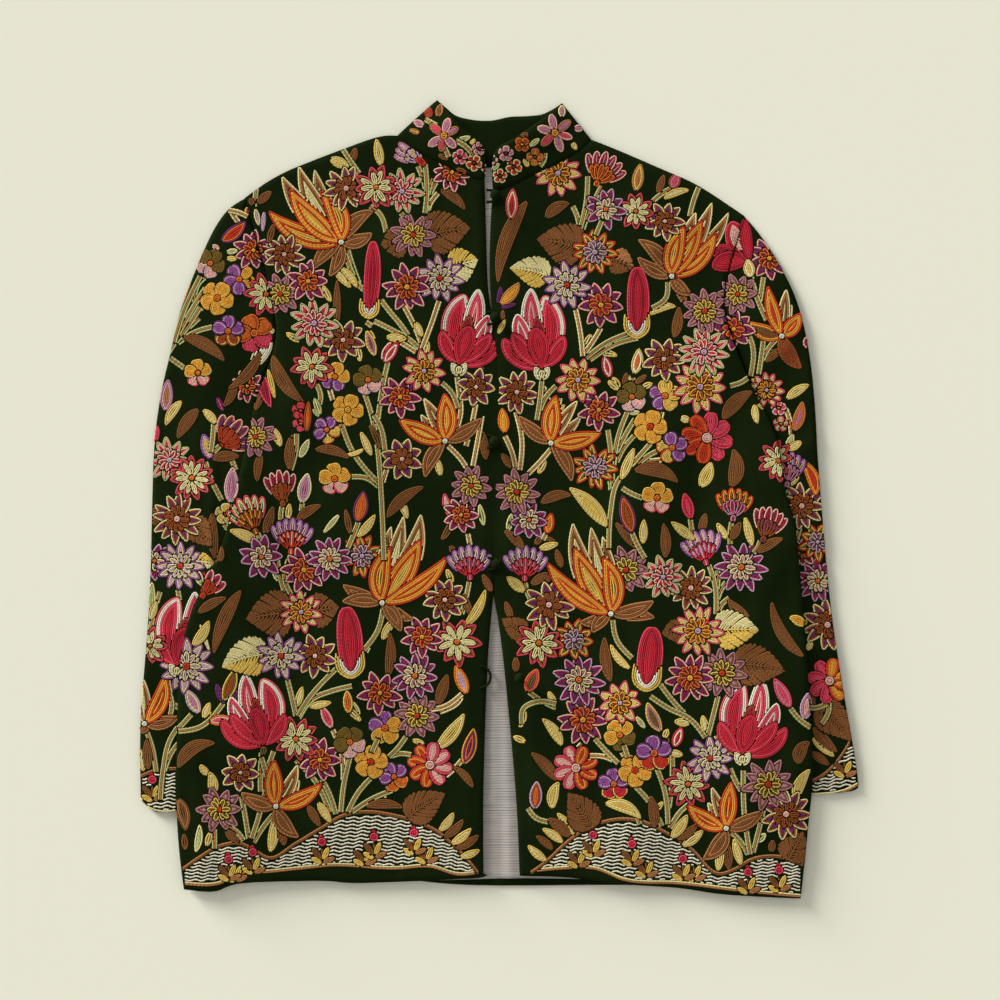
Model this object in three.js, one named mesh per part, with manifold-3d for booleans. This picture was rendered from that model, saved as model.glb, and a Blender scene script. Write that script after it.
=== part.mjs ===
// An embroidered hip-length coat with a stand collar, five ball buttons and
// long sleeves, laid out flat on its back. Millimetres, +Z up, +Y towards the
// collar. The origin is on the surface it lies on, at the middle of its box.
import * as THREE from 'three';
import { mergeVertices } from 'three/addons/utils/BufferGeometryUtils.js';
import Module from 'manifold-3d';

const wasm = await Module();
wasm.setup();

// ---------------------------------------------------------------- sizes, mm
const CLOTH = { body: 2.0, sleeve: 1.6, lining: 1.0, collar: 2.4 };
const SEAM = 0.3;
const GRID = 32;              // step of the shared net that every bent panel hangs on
const COLLAR_GRID = 12;       // the collar lies on flat cloth, so its net may be finer
const FLAT_GRID = 200;        // for panels that lie flat on the floor
const OUTLINE_STEP = 15;      // longest straight piece of a curved outline
const SLEEVE_PUFF = { rise: 4.5, reach: 45 };
const BODY_DRAPE = { hold: 48, fall: 45 };       // where the body lies over a tucked sleeve
const LINING_LIFT = { from: -108, to: 140, fall: 55 };
const COLLAR_ROLL = { rise: 7, fromSeam: 40, fromFold: 26, lowY: 342, highY: 356 };
const BUTTON = { radius: 5.6, height: 9.6, shank: 1.6, shankHeight: 4.4, rings: 6, sides: 10 };
const LOOP = { radius: 1.3, sides: 5, steps: 9 };

const COLOUR = { green: 0x142010, greenInside: 0x121c0e, silk: 0xa5a098 };

// ------------------------------------------------- seams and edges, from above
// Each line is a smooth curve through its rows; x to the right, y to the collar.
const LEFT = {
  neck: [{ x: -99, y: 353 }, { x: -86, y: 342 }, { x: -66, y: 331 }, { x: -29, y: 314 }, { x: -15, y: 310 }],
  centreUpper: [{ x: -15, y: 310 }, { x: -13.5, y: 262 }, { x: -11.5, y: 205 }, { x: -6, y: 172 }],
  centreLower: [{ x: -6, y: -88 }, { x: -12, y: -160 }, { x: -16, y: -282 }, { x: -16, y: -363 }],
  hem: [{ x: -16, y: -363 }, { x: -23, y: -367 }, { x: -134, y: -372 }, { x: -174, y: -370 },
    { x: -250, y: -372 }, { x: -277, y: -380 }, { x: -306, y: -378 }],
  side: [{ x: -306, y: -378 }, { x: -312.5, y: -306 }, { x: -311, y: -194 }, { x: -304, y: -130 },
    { x: -289, y: -88 }, { x: -275, y: -60 }, { x: -262, y: -24 }, { x: -250, y: 30 }, { x: -243, y: 62 },
    { x: -237, y: 92 }],
  armhole: [{ x: -237, y: 92 }, { x: -219, y: 145 }, { x: -217, y: 174 }, { x: -228, y: 222 },
    { x: -247, y: 293 }],
  shoulder: [{ x: -247, y: 293 }, { x: -212, y: 316 }, { x: -152, y: 340 }, { x: -117, y: 352 },
    { x: -99, y: 353 }],
  sleeveOuter: [{ x: -247, y: 293 }, { x: -266, y: 279 }, { x: -284, y: 249 }, { x: -308, y: 189 },
    { x: -319.5, y: 143 }, { x: -330, y: 96 }, { x: -336, y: 38 }, { x: -340, y: -97 }, { x: -348.5, y: -214 },
    { x: -348.5, y: -291 }],
  cuff: [{ x: -348.5, y: -291 }, { x: -335, y: -303 }, { x: -313, y: -303 }, { x: -228, y: -303 }],
  tuck: [{ x: -228, y: -303 }, { x: -205, y: -200 }, { x: -190, y: -97 }, { x: -178, y: 20 },
    { x: -190, y: 70 }, { x: -237, y: 92 }],
  collarFold: [{ x: -99, y: 353 }, { x: -84, y: 367 }, { x: -60.5, y: 387.5 }],
  collarTop: [{ x: -60.5, y: 387.5 }, { x: -49, y: 374 }, { x: -36, y: 360 }, { x: -24, y: 350 },
    { x: -15, y: 339 }],
  collarEnd: [{ x: -15, y: 339 }, { x: -14, y: 326 }, { x: -15, y: 310 }],
};
const RIGHT = {
  neck: [{ x: 89, y: 349 }, { x: 72, y: 335 }, { x: 35, y: 317 }, { x: 8, y: 304 }, { x: -6, y: 301 }],
  centreUpper: [{ x: -6, y: 301 }, { x: -8.5, y: 262 }, { x: -9, y: 215 }, { x: -6, y: 172 }],
  centreLower: [{ x: -6, y: -88 }, { x: 3.5, y: -150 }, { x: 16, y: -282 }, { x: 20, y: -365 }],
  hem: [{ x: 20, y: -365 }, { x: 59, y: -366 }, { x: 88, y: -369 }, { x: 121, y: -373 }, { x: 175, y: -377 },
    { x: 218, y: -383 }, { x: 292, y: -387 }],
  side: [{ x: 292, y: -387 }, { x: 299, y: -318 }, { x: 303, y: -261 }, { x: 297, y: -152 },
    { x: 292, y: -88 }, { x: 286, y: -28 }, { x: 276, y: 11 }, { x: 267, y: 62 }, { x: 253, y: 92 }],
  armhole: [{ x: 253, y: 92 }, { x: 232, y: 138 }, { x: 218, y: 184 }, { x: 222, y: 223 },
    { x: 238, y: 275 }],
  shoulder: [{ x: 238, y: 275 }, { x: 194, y: 304 }, { x: 159, y: 320 }, { x: 110, y: 341 }, { x: 89, y: 349 }],
  sleeveOuter: [{ x: 238, y: 275 }, { x: 253, y: 257 }, { x: 272, y: 228 }, { x: 289, y: 192 },
    { x: 300, y: 147 }, { x: 306, y: 96 }, { x: 310, y: 28 }, { x: 320, y: -88 }, { x: 330, y: -162 },
    { x: 345, y: -249 }, { x: 348.5, y: -276 }],
  cuff: [{ x: 348.5, y: -276 }, { x: 344, y: -283 }, { x: 303, y: -287 }, { x: 226, y: -292 }],
  tuck: [{ x: 226, y: -292 }, { x: 208, y: -200 }, { x: 197, y: -97 }, { x: 190, y: 20 },
    { x: 204, y: 70 }, { x: 253, y: 92 }],
  collarFold: [{ x: 89, y: 349 }, { x: 72, y: 370 }, { x: 60.5, y: 384.5 }],
  collarTop: [{ x: 60.5, y: 384.5 }, { x: 48, y: 373 }, { x: 34, y: 363 }, { x: 18, y: 352 }, { x: -2.5, y: 339 }],
  collarEnd: [{ x: -2.5, y: 339 }, { x: -6.5, y: 328 }, { x: -6, y: 301 }],
};
const CENTRE_CLOSED = [{ x: -6, y: 172 }, { x: -6, y: -88 }];
const BACK = {
  neck: [{ x: -99, y: 353 }, { x: -58, y: 332 }, { x: -5, y: 325 }, { x: 49, y: 331 }, { x: 89, y: 349 }],
  collarTop: [{ x: -60.5, y: 387.5 }, { x: -49, y: 378 }, { x: -38, y: 371 }, { x: -10, y: 368 },
    { x: 12, y: 372 }, { x: 36, y: 373 }, { x: 48, y: 377 }, { x: 60.5, y: 384.5 }],
  hem: [{ x: -306, y: -378 }, { x: -240, y: -368 }, { x: -120, y: -367 }, { x: -55, y: -373 },
    { x: 0, y: -375 }, { x: 144, y: -375 }, { x: 218, y: -383 }, { x: 292, y: -387 }],
};
const LINING = {
  neck: [{ x: -58, y: 329 }, { x: -5, y: 322 }, { x: 49, y: 328 }],
  right: [{ x: 49, y: 328 }, { x: 60, y: 150 }, { x: 70, y: -150 }, { x: 92, y: -369 }],
  hem: [{ x: 92, y: -369 }, { x: 20, y: -368 }, { x: -60, y: -370 }],
  left: [{ x: -60, y: -370 }, { x: -60, y: 0 }, { x: -58, y: 329 }],
};

// Soft folds: a ridge of this height and half-width from one end to the other.
const FRONT_FOLDS = [
  { x0: -275, y0: -385, x1: -240, y1: -250, halfWidth: 34, height: 4.5 },
  { x0: -140, y0: -380, x1: -120, y1: -180, halfWidth: 42, height: 2.5 },
  { x0: -60, y0: -370, x1: -40, y1: -120, halfWidth: 36, height: 3 },
  { x0: -205, y0: 150, x1: -130, y1: 20, halfWidth: 36, height: 3.5 },
  { x0: -110, y0: 250, x1: -75, y1: 60, halfWidth: 38, height: 2.5 },
  { x0: 55, y0: -370, x1: 40, y1: -140, halfWidth: 34, height: 2.5 },
  { x0: 125, y0: -385, x1: 135, y1: -200, halfWidth: 34, height: 4.5 },
  { x0: 250, y0: -390, x1: 215, y1: -230, halfWidth: 38, height: 3.5 },
  { x0: 205, y0: 140, x1: 130, y1: 0, halfWidth: 38, height: 3.5 },
  { x0: 110, y0: 240, x1: 80, y1: 70, halfWidth: 38, height: 2.5 },
];
const SLEEVE_FOLDS = [
  { x0: -325, y0: 100, x1: -255, y1: 40, halfWidth: 28, height: 3 },
  { x0: -262, y0: 20, x1: -285, y1: -80, halfWidth: 30, height: 3 },
  { x0: -335, y0: -60, x1: -300, y1: -150, halfWidth: 28, height: 2.5 },
  { x0: 302, y0: 110, x1: 262, y1: 150, halfWidth: 28, height: 2.5 },
  { x0: 300, y0: 30, x1: 292, y1: -60, halfWidth: 28, height: 2.5 },
  { x0: 325, y0: -110, x1: 305, y1: -190, halfWidth: 28, height: 2.5 },
];
const LINING_FOLDS = [
  { x0: -6, y0: -150, x1: 2, y1: -365, halfWidth: 20, height: 0.9 },
];
const BUTTONS = [
  { x: -4, y: 294.5 },
  { x: -4.4, y: 176 },
  { x: -5, y: 56 },
  { x: -2.8, y: -62.5 },
  { x: 19.5, y: -173 },
];
// reach: how far the loop runs past the left front's edge; the last is undone.
const LOOPS = [
  { x: -14, y: 294.5, reach: 14.5, halfWidth: 6 },
  { x: -13, y: 176, reach: 12.5, halfWidth: 6 },
  { x: -13, y: 56, reach: 12, halfWidth: 6 },
  { x: -13, y: -62.5, reach: 14, halfWidth: 6 },
  { x: -20, y: -172, reach: 11.5, halfWidth: 10.5 },
];

// ------------------------------------------------------------ plane geometry
const smooth = (value, low, high) => THREE.MathUtils.smoothstep(value, low, high);

function curvePoints(rows) {
  const curve = new THREE.SplineCurve(rows.map((row) => new THREE.Vector2(row.x, row.y)));
  const pieces = Math.max(rows.length - 1, Math.round(curve.getLength() / OUTLINE_STEP));
  return curve.getPoints(pieces);
}

function reversed(rows) {
  return [...rows].reverse();
}

// One closed outline from lines that meet end to end.
function joinLines(...lines) {
  return lines.flatMap((rows) => curvePoints(rows).slice(0, -1));
}

// The outline drawn in by half a seam, so that neighbours stay apart.
function drawnIn(points, distance) {
  const clockwise = THREE.ShapeUtils.isClockWise(points);
  return points.map((point, index) => {
    const before = points[(index + points.length - 1) % points.length];
    const after = points[(index + 1) % points.length];
    const along = new THREE.Vector2().subVectors(after, before).normalize();
    const inward = new THREE.Vector2(-along.y, along.x).multiplyScalar(clockwise ? -1 : 1);
    return point.clone().addScaledVector(inward, distance);
  });
}

function distanceToSegment(x, y, a, b) {
  const ux = b.x - a.x;
  const uy = b.y - a.y;
  const t = THREE.MathUtils.clamp(((x - a.x) * ux + (y - a.y) * uy) / (ux * ux + uy * uy), 0, 1);
  return Math.hypot(x - a.x - t * ux, y - a.y - t * uy);
}

function distanceToLine(x, y, points) {
  let least = Infinity;
  for (let i = 1; i < points.length; i += 1) {
    least = Math.min(least, distanceToSegment(x, y, points[i - 1], points[i]));
  }
  return least;
}

function isInside(x, y, points) {
  let inside = false;
  for (let i = 0, j = points.length - 1; i < points.length; j = i, i += 1) {
    const crosses = (points[i].y > y) !== (points[j].y > y);
    const edgeX = points[i].x + ((y - points[i].y) * (points[j].x - points[i].x)) / (points[j].y - points[i].y);
    if (crosses && x < edgeX) inside = !inside;
  }
  return inside;
}

// Distance outside the outline (positive) or inside it (negative).
function signedDistance(x, y, points) {
  const distance = distanceToLine(x, y, [...points, points[0]]);
  return isInside(x, y, points) ? -distance : distance;
}

function foldHeight(x, y, folds) {
  return folds.reduce((height, fold) => {
    const from = { x: fold.x0, y: fold.y0 };
    const to = { x: fold.x1, y: fold.y1 };
    const away = distanceToSegment(x, y, from, to) / fold.halfWidth;
    return Math.max(height, fold.height * Math.exp(-away * away));
  }, 0);
}

// ------------------------------------------------------------------ outlines
const frontOutline = (s) => joinLines(s.neck, s.centreUpper, CENTRE_CLOSED, s.centreLower, s.hem, s.side,
  s.armhole, s.shoulder);
const sleeveOutline = (s) => joinLines(s.sleeveOuter, s.cuff, s.tuck, s.armhole);
const tuckedOutline = (s) => joinLines(s.tuck, reversed(s.side.slice(1)), [s.side[1], s.tuck[0]]);
const collarOutline = (s) => joinLines(s.neck, reversed(s.collarEnd), reversed(s.collarTop),
  reversed(s.collarFold));
const outlines = {
  frontLeft: frontOutline(LEFT),
  frontRight: frontOutline(RIGHT),
  sleeveLeft: sleeveOutline(LEFT),
  sleeveRight: sleeveOutline(RIGHT),
  collarLeft: collarOutline(LEFT),
  collarRight: collarOutline(RIGHT),
  collarBack: joinLines(BACK.collarTop, reversed(RIGHT.collarFold), reversed(BACK.neck), LEFT.collarFold),
  back: joinLines(BACK.neck, reversed(RIGHT.shoulder), reversed(RIGHT.armhole), reversed(RIGHT.side),
    reversed(BACK.hem), LEFT.side, LEFT.armhole, LEFT.shoulder),
  lining: joinLines(LINING.neck, LINING.right, LINING.hem, LINING.left),
};
const tucked = [tuckedOutline(LEFT), tuckedOutline(RIGHT)];

// ------------------------------------- undersides of the layers, from the floor up
function sleevePuff(x, y) {
  const depth = Math.max(-signedDistance(x, y, outlines.sleeveLeft), -signedDistance(x, y, outlines.sleeveRight));
  if (depth <= 0) return 0;
  const roll = smooth(depth, 0, SLEEVE_PUFF.reach);
  return roll * (SLEEVE_PUFF.rise + foldHeight(x, y, SLEEVE_FOLDS));
}

function sleeveTopUnderside(x, y) {
  return CLOTH.sleeve + SEAM + sleevePuff(x, y);
}

// The back lies on the floor and rides up over the tucked part of each sleeve.
function backUnderside(x, y) {
  const away = Math.min(...tucked.map((outline) => signedDistance(x, y, outline)));
  const over = 1 - smooth(away, BODY_DRAPE.hold, BODY_DRAPE.hold + BODY_DRAPE.fall);
  return over * (sleeveTopUnderside(x, y) + CLOTH.sleeve + SEAM);
}

function liningUnderside(x, y) {
  return backUnderside(x, y) + CLOTH.body + SEAM;
}

function frontUnderside(x, y) {
  const leftSide = smooth(x, LINING_LIFT.from - LINING_LIFT.fall, LINING_LIFT.from);
  const rightSide = 1 - smooth(x, LINING_LIFT.to, LINING_LIFT.to + LINING_LIFT.fall);
  const lining = (CLOTH.lining + SEAM) * Math.min(leftSide, rightSide);
  const edge = Math.max(-signedDistance(x, y, outlines.back), 0);
  const lift = Math.max(foldHeight(x, y, FRONT_FOLDS), foldHeight(x, y, LINING_FOLDS));
  return liningUnderside(x, y) + lining + lift * (0.35 + 0.65 * smooth(edge, 0, GRID));
}

function collarUnderside(seam, fold) {
  return (x, y) => {
    const base = CLOTH.collar + SEAM + (CLOTH.lining + SEAM - CLOTH.collar + CLOTH.body)
      * (1 - smooth(y, COLLAR_ROLL.lowY, COLLAR_ROLL.highY));
    const offSeam = smooth(distanceToLine(x, y, seam), 0, COLLAR_ROLL.fromSeam);
    const offFold = smooth(distanceToLine(x, y, fold), 0, COLLAR_ROLL.fromFold);
    return base + COLLAR_ROLL.rise * offSeam * offFold;
  };
}

// --------------------------------------------------------------- solid making
function toManifold(geometry) {
  geometry.deleteAttribute('normal');
  geometry.deleteAttribute('uv');
  const merged = mergeVertices(geometry, 1e-4);
  return new wasm.Manifold(new wasm.Mesh({
    numProp: 3,
    vertProperties: new Float32Array(merged.attributes.position.array),
    triVerts: new Uint32Array(merged.index.array),
  }));
}

function toGeometry(solid) {
  const mesh = solid.getMesh();
  const geometry = new THREE.BufferGeometry();
  geometry.setAttribute('position', new THREE.BufferAttribute(mesh.vertProperties, 3));
  geometry.setIndex(new THREE.BufferAttribute(mesh.triVerts, 1));
  return geometry;
}

// A bent wall on the shared net: every layer has its net points at the same x
// and y and the same diagonals, so layers keep their spacing between the points.
function bentWall(underside, thickness, box, step) {
  const i0 = Math.floor(box.min.x / step) - 1;
  const i1 = Math.ceil(box.max.x / step) + 1;
  const j0 = Math.floor(box.min.y / step) - 1;
  const j1 = Math.ceil(box.max.y / step) + 1;
  const columns = i1 - i0 + 1;
  const rows = j1 - j0 + 1;
  const positions = [];
  for (const rise of [0, thickness]) {
    for (let j = j0; j <= j1; j += 1) {
      for (let i = i0; i <= i1; i += 1) {
        positions.push(i * step, j * step, underside(i * step, j * step) + rise);
      }
    }
  }
  const low = (i, j) => j * columns + i;
  const high = (i, j) => low(i, j) + columns * rows;
  const triangles = [];
  const quad = (a, b, c, d) => triangles.push(a, b, c, a, c, d);
  for (let j = 0; j < rows - 1; j += 1) {
    for (let i = 0; i < columns - 1; i += 1) {
      quad(high(i, j), high(i + 1, j), high(i + 1, j + 1), high(i, j + 1));
      triangles.push(low(i, j), low(i + 1, j + 1), low(i + 1, j));
      triangles.push(low(i, j), low(i, j + 1), low(i + 1, j + 1));
    }
  }
  for (let i = 0; i < columns - 1; i += 1) {
    quad(low(i, 0), low(i + 1, 0), high(i + 1, 0), high(i, 0));
    quad(low(i + 1, rows - 1), low(i, rows - 1), high(i, rows - 1), high(i + 1, rows - 1));
  }
  for (let j = 0; j < rows - 1; j += 1) {
    quad(low(0, j + 1), low(0, j), high(0, j), high(0, j + 1));
    quad(low(columns - 1, j), low(columns - 1, j + 1), high(columns - 1, j + 1), high(columns - 1, j));
  }
  const geometry = new THREE.BufferGeometry();
  geometry.setAttribute('position', new THREE.Float32BufferAttribute(positions, 3));
  geometry.setIndex(triangles);
  return toManifold(geometry);
}

// A panel: the bent wall, cut to its outline.
function panel(outline, underside, thickness, step = GRID) {
  const edge = drawnIn(outline, SEAM / 2);
  const wall = bentWall(underside, thickness, new THREE.Box2().setFromPoints(edge), step);
  const cutter = new THREE.ExtrudeGeometry(new THREE.Shape(edge), { depth: 100, bevelEnabled: false });
  cutter.translate(0, 0, -20);
  return toGeometry(wall.intersect(toManifold(cutter)));
}

// Height of a layer's net between its points.
function netHeight(underside, x, y) {
  const i = Math.floor(x / GRID);
  const j = Math.floor(y / GRID);
  const u = x / GRID - i;
  const v = y / GRID - j;
  const at = (a, b) => underside((i + a) * GRID, (j + b) * GRID);
  const start = at(0, 0);
  const end = at(1, 1);
  return u > v
    ? start + (at(1, 0) - start) * u + (end - at(1, 0)) * v
    : start + (at(0, 1) - start) * v + (end - at(0, 1)) * u;
}

// Highest point of the fronts on the rectangle between two corners.
function frontTop(x0, x1, y0, y1) {
  const heights = [0, 0.5, 1].flatMap((across) => [0, 0.5, 1].map((up) => netHeight(
    frontUnderside,
    THREE.MathUtils.lerp(x0, x1, across),
    THREE.MathUtils.lerp(y0, y1, up),
  )));
  return Math.max(...heights) + CLOTH.body;
}

function ballButton(place) {
  const reach = BUTTON.shank;
  const foot = frontTop(place.x - reach, place.x + reach, place.y - reach, place.y + reach) + SEAM;
  const half = BUTTON.height / 2;
  const profile = [new THREE.Vector2(0, 0), new THREE.Vector2(BUTTON.shank, 0)];
  for (let ring = 1; ring <= BUTTON.rings; ring += 1) {
    const angle = Math.PI * ((ring + 0.5) / (BUTTON.rings + 0.5) - 0.5);
    const radius = ring === BUTTON.rings ? 0 : BUTTON.radius * Math.cos(angle);
    profile.push(new THREE.Vector2(radius, BUTTON.shankHeight + half + half * Math.sin(angle)));
  }
  const geometry = new THREE.LatheGeometry(profile, BUTTON.sides);
  geometry.rotateX(Math.PI / 2);
  geometry.translate(place.x, place.y, foot);
  return toGeometry(toManifold(geometry));
}

class LoopPath extends THREE.Curve {
  constructor(place, height) {
    super();
    this.place = place;
    this.height = height;
  }

  getPoint(t, target = new THREE.Vector3()) {
    const angle = (t - 0.5) * Math.PI;
    return target.set(
      this.place.x + this.place.reach * Math.cos(angle),
      this.place.y + this.place.halfWidth * Math.sin(angle),
      this.height,
    );
  }
}

function buttonLoop(place) {
  const ring = [];
  for (let side = 0; side < LOOP.sides; side += 1) {
    const angle = (side / LOOP.sides) * Math.PI * 2;
    ring.push(new THREE.Vector2(LOOP.radius * Math.cos(angle), LOOP.radius * Math.sin(angle)));
  }
  const top = frontTop(place.x, place.x + place.reach, place.y - place.halfWidth, place.y + place.halfWidth);
  const path = new LoopPath(place, top + SEAM + LOOP.radius);
  const geometry = new THREE.ExtrudeGeometry(new THREE.Shape(ring), { steps: LOOP.steps, extrudePath: path });
  return toGeometry(toManifold(geometry));
}

// ---------------------------------------------------------------- scene graph
function clothMaterial(color, roughness) {
  return new THREE.MeshStandardMaterial({ color, roughness, metalness: 0, flatShading: true });
}

const greenCloth = clothMaterial(COLOUR.green, 0.9);
const collarCloth = clothMaterial(COLOUR.greenInside, 0.9);
const silkLining = clothMaterial(COLOUR.silk, 0.55);

const coat = new THREE.Group();

function addPiece(name, geometry, material) {
  const mesh = new THREE.Mesh(geometry, material);
  mesh.name = name;
  coat.add(mesh);
}

addPiece('back', panel(outlines.back, backUnderside, CLOTH.body), greenCloth);
addPiece('back_lining', panel(outlines.lining, liningUnderside, CLOTH.lining), silkLining);
addPiece('front_left', panel(outlines.frontLeft, frontUnderside, CLOTH.body), greenCloth);
addPiece('front_right', panel(outlines.frontRight, frontUnderside, CLOTH.body), greenCloth);

for (const [side, outline] of [['left', outlines.sleeveLeft], ['right', outlines.sleeveRight]]) {
  addPiece(`sleeve_${side}_under`, panel(outline, () => 0, CLOTH.sleeve, FLAT_GRID), greenCloth);
  addPiece(`sleeve_${side}_top`, panel(outline, sleeveTopUnderside, CLOTH.sleeve), greenCloth);
}

addPiece('collar_back', panel(outlines.collarBack, () => 0, CLOTH.collar, FLAT_GRID), collarCloth);
for (const [side, lines] of [['left', LEFT], ['right', RIGHT]]) {
  const underside = collarUnderside(curvePoints(lines.neck), curvePoints(lines.collarFold));
  const outline = side === 'left' ? outlines.collarLeft : outlines.collarRight;
  addPiece(`collar_${side}`, panel(outline, underside, CLOTH.collar, COLLAR_GRID), greenCloth);
}

BUTTONS.forEach((place, index) => addPiece(`button_${index + 1}`, ballButton(place), greenCloth));
LOOPS.forEach((place, index) => addPiece(`loop_${index + 1}`, buttonLoop(place), greenCloth));

export default coat;
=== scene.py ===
import sys
import logging
import math
import random
from collections.abc import Callable, Iterable, Sequence
from dataclasses import dataclass
from enum import Enum

import bmesh
import bpy
import numpy as np
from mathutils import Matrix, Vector, noise
from mathutils.bvhtree import BVHTree
from mathutils.geometry import delaunay_2d_cdt


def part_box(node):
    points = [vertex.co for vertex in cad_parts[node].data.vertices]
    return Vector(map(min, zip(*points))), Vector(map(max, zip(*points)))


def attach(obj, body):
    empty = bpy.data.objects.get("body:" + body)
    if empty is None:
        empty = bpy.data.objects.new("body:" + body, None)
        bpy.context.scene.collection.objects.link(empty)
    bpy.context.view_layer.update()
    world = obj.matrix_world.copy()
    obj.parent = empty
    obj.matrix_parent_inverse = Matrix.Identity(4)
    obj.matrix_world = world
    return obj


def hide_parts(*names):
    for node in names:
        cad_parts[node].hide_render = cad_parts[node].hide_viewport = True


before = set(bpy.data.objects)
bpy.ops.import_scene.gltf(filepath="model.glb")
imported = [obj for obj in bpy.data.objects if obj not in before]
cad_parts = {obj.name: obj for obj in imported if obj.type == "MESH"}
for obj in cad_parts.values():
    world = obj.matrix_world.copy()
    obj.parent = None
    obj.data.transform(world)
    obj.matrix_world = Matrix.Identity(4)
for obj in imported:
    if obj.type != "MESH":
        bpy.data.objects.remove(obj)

LOG = logging.getLogger("coat")
MM = 0.001
CHART_SQUARE = 0.97 * MM
CHART_MIDDLE = 499.5
SEED = 11
BUTTONS = 5
WAIST = -0.040  # the embroidery is parted here into upper and lower pieces
FOLD_END = 1.6  # how far a fold runs out past its ends, in half widths
FACES_UP = 0.5  # least upward share of the normal of a panel's upper faces
WIDE_RIPPLE, FINE_RIPPLE = 42, 95  # ripples of the cloth's noise on a metre
STRAIGHT = 0.004  # sine of the turn below which an outline counts as straight
TINY = 1e-9

Spot = tuple[float, float]
Colour = tuple[float, float, float]
Array = np.ndarray


def linear(red: float, green: float, blue: float) -> Colour:
    """Turn a display colour of 0 to 255 into the renderer's linear one.

    Args:
        red: Red, 0 to 255.
        green: Green, 0 to 255.
        blue: Blue, 0 to 255.

    Returns:
        The linear colour.
    """
    def channel(value: float) -> float:
        """One channel of the colour."""
        part = value / 255
        return part / 12.92 if part <= 0.04045 else ((part + 0.055) / 1.055) ** 2.4
    return channel(red), channel(green), channel(blue)


def on_cloth(spots: Array) -> Array:
    """Turn chart places into metres.

    Args:
        spots: Chart places, one in each row.

    Returns:
        x and y in metres, one place in each row.
    """
    spots = np.asarray(spots, float)
    return np.column_stack([
        (spots[:, 0] - CHART_MIDDLE) * CHART_SQUARE,
        (CHART_MIDDLE - spots[:, 1]) * CHART_SQUARE,
    ])


# ------------------------------------------------------------------- shader kit
class Value:
    """A shader socket that can be used in sums."""

    def __init__(self, shader: "Shader", socket: bpy.types.NodeSocket) -> None:
        """Wrap a socket of the shader's tree."""
        self.shader = shader
        self.socket = socket

    def _sum(self, operation: str, first: object, second: object) -> "Value":
        """Add a Math node on two values."""
        return self.shader.node("ShaderNodeMath", {"operation": operation}, {0: first, 1: second})

    def __add__(self, other: object) -> "Value":
        """Add."""
        return self._sum("ADD", self, other)

    def __mul__(self, other: object) -> "Value":
        """Multiply."""
        return self._sum("MULTIPLY", self, other)

    def sine(self) -> "Value":
        """The sine of this value."""
        return self.shader.node("ShaderNodeMath", {"operation": "SINE"}, {0: self})

    def size(self) -> "Value":
        """This value without its sign."""
        return self.shader.node("ShaderNodeMath", {"operation": "ABSOLUTE"}, {0: self})


class Shader:
    """One material with a Principled surface."""

    def __init__(self, name: str, **surface: float | tuple) -> None:
        """Make the material.

        Args:
            name: The material's name.
            surface: Values set on the Principled node's own sockets.
        """
        self.material = bpy.data.materials.new(name)
        self.material.use_nodes = True
        self.tree = self.material.node_tree
        self.surface = self.tree.nodes["Principled BSDF"]
        for socket, value in surface.items():
            self.surface.inputs[socket.replace("_", " ")].default_value = value

    def node(self, kind: str, settings: dict | None = None, inputs: dict | None = None,
             output: int | str = 0) -> Value:
        """Add a node.

        Args:
            kind: The node's type.
            settings: Properties that are set first.
            inputs: Values or links of its sockets, by name or number.
            output: The output that is wanted.

        Returns:
            That output.
        """
        made = self.tree.nodes.new(kind)
        for key, value in (settings or {}).items():
            setattr(made, key, value)
        for key, value in (inputs or {}).items():
            if isinstance(value, Value):
                self.tree.links.new(value.socket, made.inputs[key])
            else:
                made.inputs[key].default_value = value
        return Value(self, made.outputs[output])

    def place(self) -> Value:
        """The place on the piece, in metres."""
        return self.node("ShaderNodeTexCoord", output="Object")

    def speckle(self, place: Value, scale: float, detail: float) -> Value:
        """A noise texture."""
        sockets = {"Vector": place, "Scale": scale, "Detail": detail}
        return self.node("ShaderNodeTexNoise", {}, sockets)

    def split(self, place: Value) -> list[Value]:
        """The x, y and z of a place."""
        made = self.tree.nodes.new("ShaderNodeSeparateXYZ")
        self.tree.links.new(place.socket, made.inputs[0])
        return [Value(self, part) for part in made.outputs]

    def ramp(self, factor: Value, stops: Sequence[tuple[float, Colour]]) -> Value:
        """Colour a value.

        Args:
            factor: The value.
            stops: Places from 0 to 1, with the colour at each.

        Returns:
            The colour.
        """
        made = self.tree.nodes.new("ShaderNodeValToRGB")
        elements = made.color_ramp.elements
        while len(elements) < len(stops):
            elements.new(0.5)
        for element, (place, colour) in zip(elements, stops):
            element.position = place
            element.color = (*colour, 1)
        self.tree.links.new(factor.socket, made.inputs[0])
        return Value(self, made.outputs[0])

    def blend(self, kind: str, factor: object, first: object, second: object) -> Value:
        """Mix two colours.

        Args:
            kind: The way to mix them, as the Mix node names it.
            factor: How much of the second.
            first: The first colour.
            second: The second colour.

        Returns:
            The mixed colour.
        """
        return self.node(
            "ShaderNodeMix", {"data_type": "RGBA", "blend_type": kind},
            {0: factor, 6: first, 7: second}, output=2,
        )

    def feed(self, **links: Value) -> bpy.types.Material:
        """Link values to the Principled node's sockets.

        Args:
            links: Each socket's name and what feeds it.

        Returns:
            The finished material.
        """
        for socket, value in links.items():
            self.tree.links.new(value.socket, self.surface.inputs[socket.replace("_", " ")])
        return self.material

    def bump(self, height: Value, strength: float, distance: float) -> Value:
        """A normal from a height, in metres times distance."""
        sockets = {"Strength": strength, "Distance": distance, "Height": height}
        return self.node("ShaderNodeBump", {}, sockets)


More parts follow.
